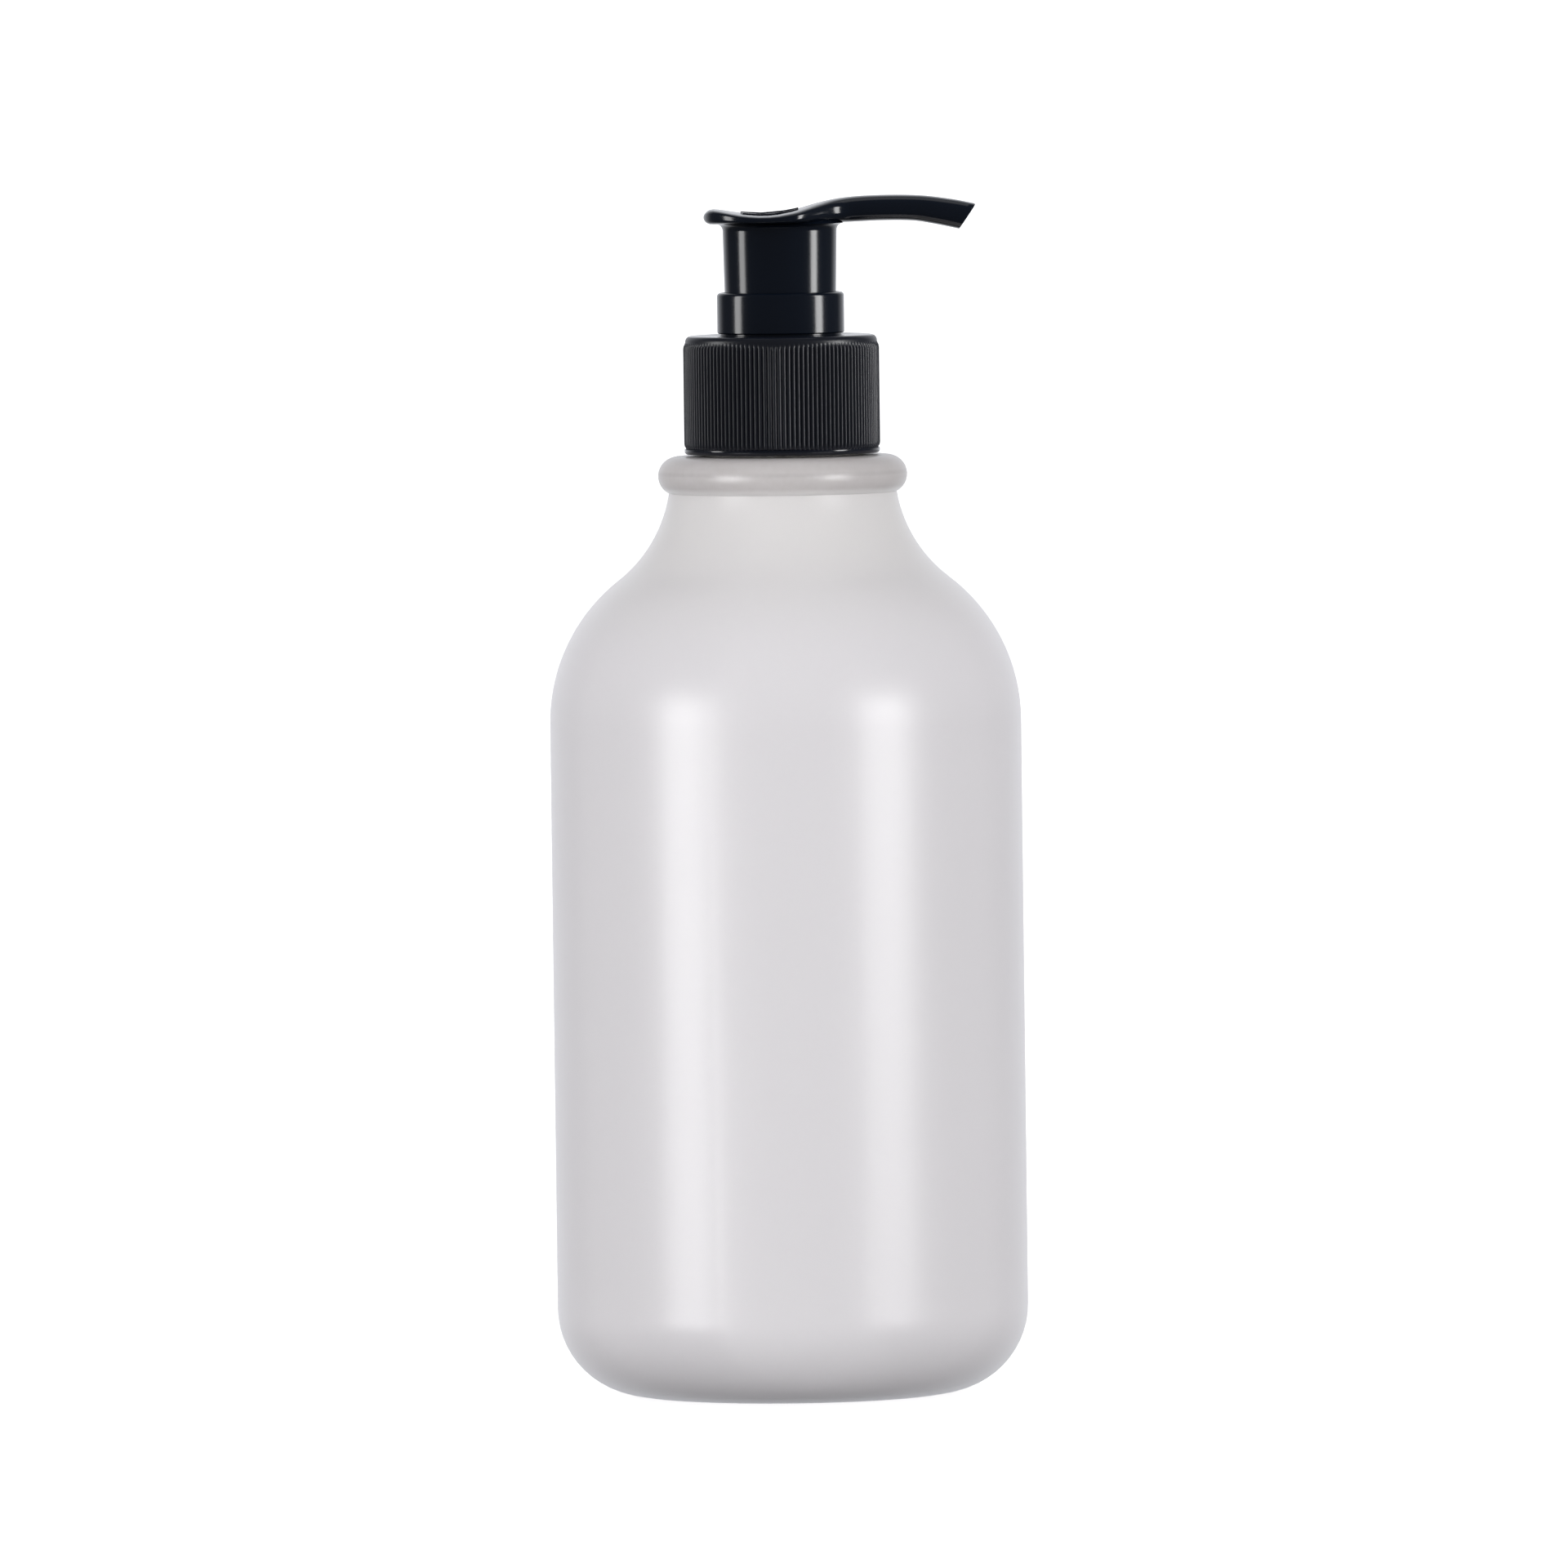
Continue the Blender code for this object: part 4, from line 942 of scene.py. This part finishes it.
class Paint(Nodes):
    """One material, laid out on the coordinates of its object."""

    def __init__(self, name):
        super().__init__(bpy.data.materials.new(name))
        self.place = self.node("ShaderNodeTexCoord", output="Object")

    def noise(self, scale, detail=3.0, roughness=0.55, at=None):
        """Soft noise from 0 to 1; the scale is in features to a metre."""
        inputs = {"Vector": at or self.place, "Scale": scale, "Detail": detail, "Roughness": roughness}
        return self.node("ShaderNodeTexNoise", None, inputs, "Fac")

    def height(self):
        """The height above the ground, in metres."""
        return self.node("ShaderNodeSeparateXYZ", None, {0: self.place}, "Z")

    def step(self, value, start, end):
        """0 before the start and 1 after the end, with a soft change between them."""
        return self.spread(value, start, end, {"interpolation_type": "SMOOTHSTEP"})

    def mix(self, share, first, second):
        """One colour that turns into another as the share goes from 0 to 1."""
        settings = {"data_type": "RGBA"}
        return self.node("ShaderNodeMix", settings, {"Factor": share, 6: first, 7: second}, 2)

    def bump(self, height, distance, strength=1.0):
        return self.node(
            "ShaderNodeBump", None, {"Strength": strength, "Distance": distance, "Height": height}
        )

    def surface(self, **inputs):
        """The surface shader, given its sockets' names with underscores for spaces."""
        named = {key.replace("_", " "): value for key, value in inputs.items()}
        return self.finish(self.node("ShaderNodeBsdfPrincipled", None, named))


def dimmed(shade, share):
    """A share of a colour's brightness."""
    return tuple(channel * share for channel in shade)


def frosted_plastic(name, finishes):
    """The bottle's frosted skin: a fine tooth, broad cloudy patches, a warmer tint round the neck that is a
    painted show-through of the pump, and painted shade on the neck ring.
    """
    paint = Paint(name)
    height = paint.height()
    # A painted show-through of the pump: the skin round the neck is tinted warmer.
    painted_show_through = paint.step(height, 0.118, 0.140) - paint.step(height, 0.146, 0.150)
    cloud = paint.noise(28, 2.0)
    tooth = paint.noise(5200, 2.0, 0.6)
    grain = paint.noise(900, 3.0)
    skin = paint.mix(painted_show_through * 0.8, finishes.frosted, finishes.frosted_show_through)
    # Painted shade: the neck ring is given a darker copy of the skin.
    ring = paint.step(height, 0.1456, 0.1466)
    skin = paint.mix(ring, skin, finishes.frosted_ring_shade)
    # A painted line where the neck's inner edge shows through the ring, in a darker tone of the ring's
    # painted shade.
    painted_inner_edge_line = paint.step(height, 0.1482, 0.1486) - paint.step(height, 0.1487, 0.1493)
    skin = paint.mix(painted_inner_edge_line * 0.5, skin, dimmed(finishes.frosted_ring_shade, 0.8))
    patches = (cloud - 0.35) * 0.5 + (grain - 0.5) * 0.25
    skin = paint.mix(patches, skin, dimmed(finishes.frosted, 0.955))
    uneven = paint.bump(cloud, 0.00012, 0.5)
    toothed = paint.node(
        "ShaderNodeBump", None, {"Strength": 0.35, "Distance": 0.00002, "Height": tooth, "Normal": uneven}
    )
    return paint.surface(
        Base_Color=skin,
        Roughness=0.30 + 0.06 * grain + 0.02 * tooth,
        Normal=toothed,
        IOR=1.5,
        Coat_Weight=0.5,
        Coat_Roughness=0.3,
        Subsurface_Weight=0.25,
        Subsurface_Radius=(0.006, 0.0055, 0.006),
        Subsurface_Scale=1.0,
    )


def moulded_plastic(name, shade, roughness, spread, relief, polished=None):
    """Moulded plastic: an almost even colour, a gloss that varies a little and very faint flow marks."""
    paint = Paint(name)
    if polished:
        # The mould is polished below the first of two heights and above the second.
        below, above = polished
        height = paint.height()
        ribs = paint.step(height, below, below + 0.0001) - paint.step(height, above, above + 0.0001)
        roughness = roughness - 0.2 + 0.2 * ribs
    flow = paint.noise(140, 4.0)
    fine = paint.noise(2600, 2.0)
    streak = paint.node("ShaderNodeMapping", None, {"Vector": paint.place, "Scale": (900, 900, 60)})
    streaks = paint.noise(1, 2.0, at=streak)
    return paint.surface(
        Base_Color=paint.mix(flow * 0.6 + streaks * 0.4, shade, dimmed(shade, 0.86)),
        Roughness=roughness + spread * (flow - 0.5) + spread * 0.6 * (streaks - 0.5),
        Normal=paint.bump(fine * 0.6 + flow * 3, relief, 0.6),
        IOR=1.5,
    )


def foam(name, shade):
    """Closed-cell foam: small round cells, with painted shade in their hollows."""
    paint = Paint(name)
    inputs = {"Vector": paint.place, "Scale": 3800}
    cells = paint.node("ShaderNodeTexVoronoi", None, inputs, "Distance")
    cloud = paint.noise(300)
    return paint.surface(
        # Painted shade: the colour darkens towards the middle of each cell, in its hollow.
        Base_Color=paint.mix(1 - cells * 1.2 + cloud * 0.2, shade, dimmed(shade, 0.72)),
        Roughness=0.82 + 0.1 * (cloud - 0.5),
        Normal=paint.bump(cells, 0.00006, 0.7),
    )


def steel(name, shade):
    """Drawn spring wire: bright, with fine lines and a little dulling."""
    paint = Paint(name)
    lines = paint.node("ShaderNodeMapping", None, {"Vector": paint.place, "Scale": (400, 400, 6000)})
    drawn = paint.noise(1, 2.0, at=lines)
    dull = paint.noise(500)
    return paint.surface(
        Base_Color=paint.mix(dull * 0.6, shade, dimmed(shade, 0.7)),
        Metallic=1.0,
        Roughness=0.22 + 0.16 * drawn + 0.08 * dull,
        Normal=paint.bump(drawn, 0.000004, 0.5),
    )


def ball_glass(name, shade):
    """A pressed glass ball: pale, glossy and very slightly uneven."""
    paint = Paint(name)
    cloud = paint.noise(400)
    return paint.surface(
        Base_Color=paint.mix(cloud, shade, dimmed(shade, 0.9)),
        Roughness=0.05 + 0.05 * cloud,
        Normal=paint.bump(cloud, 0.000004, 0.5),
        IOR=1.52,
        Coat_Weight=0.5,
    )


# ---------------------------------------------------------------- the stage

LIT_HEIGHT = 0.1  # the height on the axis that every light points at


class AddStage(bpy.types.Operator):
    """Lay the pale floor, hang the soft lights and set the camera up"""

    bl_idname = "lotion_bottle.stage"
    bl_label = "Floor, Lights and Camera"

    def execute(self, context):
        stage = context.scene.stage_settings
        self.set_world(context.scene)
        self.lay_floor(context.scene.finishes)
        self.hang_lights()
        self.set_camera(context.scene, stage)
        return {"FINISHED"}

    def set_world(self, scene):
        """White behind the object, and a dimmer soft light all round it."""
        scene.view_settings.view_transform = "Standard"
        world = Nodes(bpy.data.worlds.new("soft_studio"))
        scene.world = world.owner
        direction = world.node("ShaderNodeTexCoord", output="Generated")
        rise = world.node("ShaderNodeSeparateXYZ", None, {0: direction}, "Z")
        away = world.node("ShaderNodeSeparateXYZ", None, {0: direction}, "Y")
        # Soft light falls more from above than it rises from the floor.
        soft = world.spread(rise, -0.9, 0.3, results=(0.27, 0.62))
        # The white wall far behind shows in what gloss meets it at a low angle.
        wall = world.spread(away, 0.62, 0.98, results=(0.08, 1.0))
        around, mirrored, behind = (
            world.node("ShaderNodeBackground", None, {"Color": shade, "Strength": strength})
            for shade, strength in (((0.985, 0.98, 1), soft), ((0.93, 0.95, 1), wall), ((1, 1, 1), 1))
        )
        glossy = world.node("ShaderNodeLightPath", output="Is Glossy Ray")
        seen = world.node("ShaderNodeLightPath", output="Is Camera Ray")
        unseen = world.node("ShaderNodeMixShader", None, {0: glossy, 1: around, 2: mirrored})
        shown = world.node("ShaderNodeMixShader", None, {0: seen, 1: unseen, 2: behind})
        world.finish(shown, "ShaderNodeOutputWorld")

    def lay_floor(self, finishes):
        """A wide round floor that is nearly white to the eye."""
        start_fresh()
        bpy.ops.mesh.primitive_circle_add(vertices=96, radius=40, fill_type="NGON", location=(0, 0, -0.0002))
        floor = bpy.context.active_object
        floor.name = "floor"
        paint = Paint("pale_floor")
        cloud = paint.noise(2.5)
        shade = paint.mix(cloud, finishes.floor, dimmed(finishes.floor, 0.985))
        matt = paint.node("ShaderNodeBsdfDiffuse", None, {"Color": shade})
        glow = paint.node("ShaderNodeEmission", None, {"Color": (1, 1, 1), "Strength": 0.75})
        floor.data.materials.append(paint.finish(paint.node("ShaderNodeAddShader", None, {0: matt, 1: glow})))
        floor.visible_diffuse = False
        floor.visible_glossy = False
        floor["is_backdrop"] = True

    def hang_light(self, name, azimuth, distance, height, size, power, shines_on=None, mirrored=True):
        """A soft light at an azimuth in degrees: 0 is the camera's side and 90 the spout's."""
        turn = math.radians(azimuth)
        at = Vector((math.sin(turn) * distance, -math.cos(turn) * distance, height))
        start_fresh()
        bpy.ops.object.light_add(type="AREA", location=at)
        light = bpy.context.active_object
        light.name = name
        light.data.shape = "RECTANGLE"
        light.data.size, light.data.size_y = size
        light.data.energy = power
        facing = Vector((0, 0, LIT_HEIGHT)) - at
        light.rotation_euler = facing.to_track_quat("-Z", "Y").to_euler()
        light.light_linking.receiver_collection = shines_on
        light.visible_glossy = mirrored

    def hang_lights(self):
        """Broad soft lights for the frosted bottle, narrow ones for the gloss of the pump, and dim fills."""
        bottle = self.light_group("bottle_only", ["frosted_bottle"])
        others = [piece.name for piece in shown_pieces() if piece.name != "frosted_bottle"]
        pump = self.light_group("all_but_bottle", others)
        for side, way in (("left", -1), ("right", 1)):
            self.hang_light(side + "_softbox", 50 * way, 1.6, 0.12, (0.7, 0.9), 15.0, bottle)
            fill = side + "_side_fill"
            self.hang_light(fill, 110 * way, 1.6, 0.12, (0.7, 0.9), 3.6, bottle, mirrored=False)
        self.hang_light("left_strip", -84, 1.5, 0.35, (0.4, 1.1), 9.0, pump)
        self.hang_light("right_strip", 74, 1.5, 0.35, (0.4, 1.1), 15.0, pump)
        self.hang_light("overhead", 180, 0.5, 1.6, (0.9, 0.9), 1.2)
        self.hang_light("rear_fill", 180, 2.0, 0.2, (1.6, 1.0), 9.0, bottle, mirrored=False)
        self.hang_light("front_fill", 0, 3.0, 1.3, (1.6, 1.2), 4.0, mirrored=False)

    def light_group(self, name, pieces):
        """The pieces that a light shines on."""
        group = bpy.data.collections.new(name)
        for piece in pieces:
            group.objects.link(bpy.data.objects[piece])
        return group

    def set_camera(self, scene, stage):
        start_fresh()
        eye = Vector((stage.aim_side, -stage.distance, stage.eye_height))
        bpy.ops.object.camera_add(location=eye)
        camera = bpy.context.active_object
        facing = Vector((stage.aim_side, 0, stage.aim_height)) - eye
        camera.rotation_mode = "QUATERNION"
        upright = facing.to_track_quat("-Z", "Y")
        camera.rotation_quaternion = Quaternion(facing, stage.roll) @ upright
        camera.data.lens = 36 * facing.length / stage.view_width
        camera.data.clip_start, camera.data.clip_end = 0.1, 100
        scene.camera = camera


# ---------------------------------------------------------------- the add-on

GROUPS = {
    "bottle_sizes": BottleSizes,
    "closure_sizes": ClosureSizes,
    "pump_sizes": PumpSizes,
    "finishes": Finishes,
    "stage_settings": StageSettings,
}
OPERATORS = (AddBottle, AddClosure, AddCollar, AddHead, AddHousing, AddPiston, AddStage)


class BottlePanel(bpy.types.Panel):
    """Lists the pieces in the order that they are modelled in"""

    bl_idname = "VIEW3D_PT_lotion_bottle"
    bl_label = "Lotion Pump Bottle"
    bl_space_type = "VIEW_3D"
    bl_region_type = "UI"
    bl_category = "Bottle"

    def draw(self, context):
        for operator in OPERATORS:
            self.layout.operator(operator.bl_idname)
        for name in GROUPS:
            group = getattr(context.scene, name)
            box = self.layout.box()
            for field in group.bl_rna.properties.keys():
                if field not in ("rna_type", "name"):
                    box.prop(group, field)


CLASSES = (*GROUPS.values(), *OPERATORS, BottlePanel)


def register():
    for each in CLASSES:
        bpy.utils.register_class(each)
    for name, group in GROUPS.items():
        setattr(bpy.types.Scene, name, PointerProperty(type=group))


def unregister():
    for name in GROUPS:
        delattr(bpy.types.Scene, name)
    for each in reversed(CLASSES):
        bpy.utils.unregister_class(each)


def main():
    register()
    for light in [obj for obj in bpy.data.objects if obj.type == "LIGHT"]:
        bpy.data.objects.remove(light, do_unlink=True)
    bpy.ops.lotion_bottle.bottle()
    bpy.ops.lotion_bottle.closure()
    bpy.ops.lotion_bottle.collar()
    bpy.ops.lotion_bottle.head()
    bpy.ops.lotion_bottle.housing()
    bpy.ops.lotion_bottle.piston()
    bpy.ops.lotion_bottle.stage()


if __name__ == "__main__":
    main()
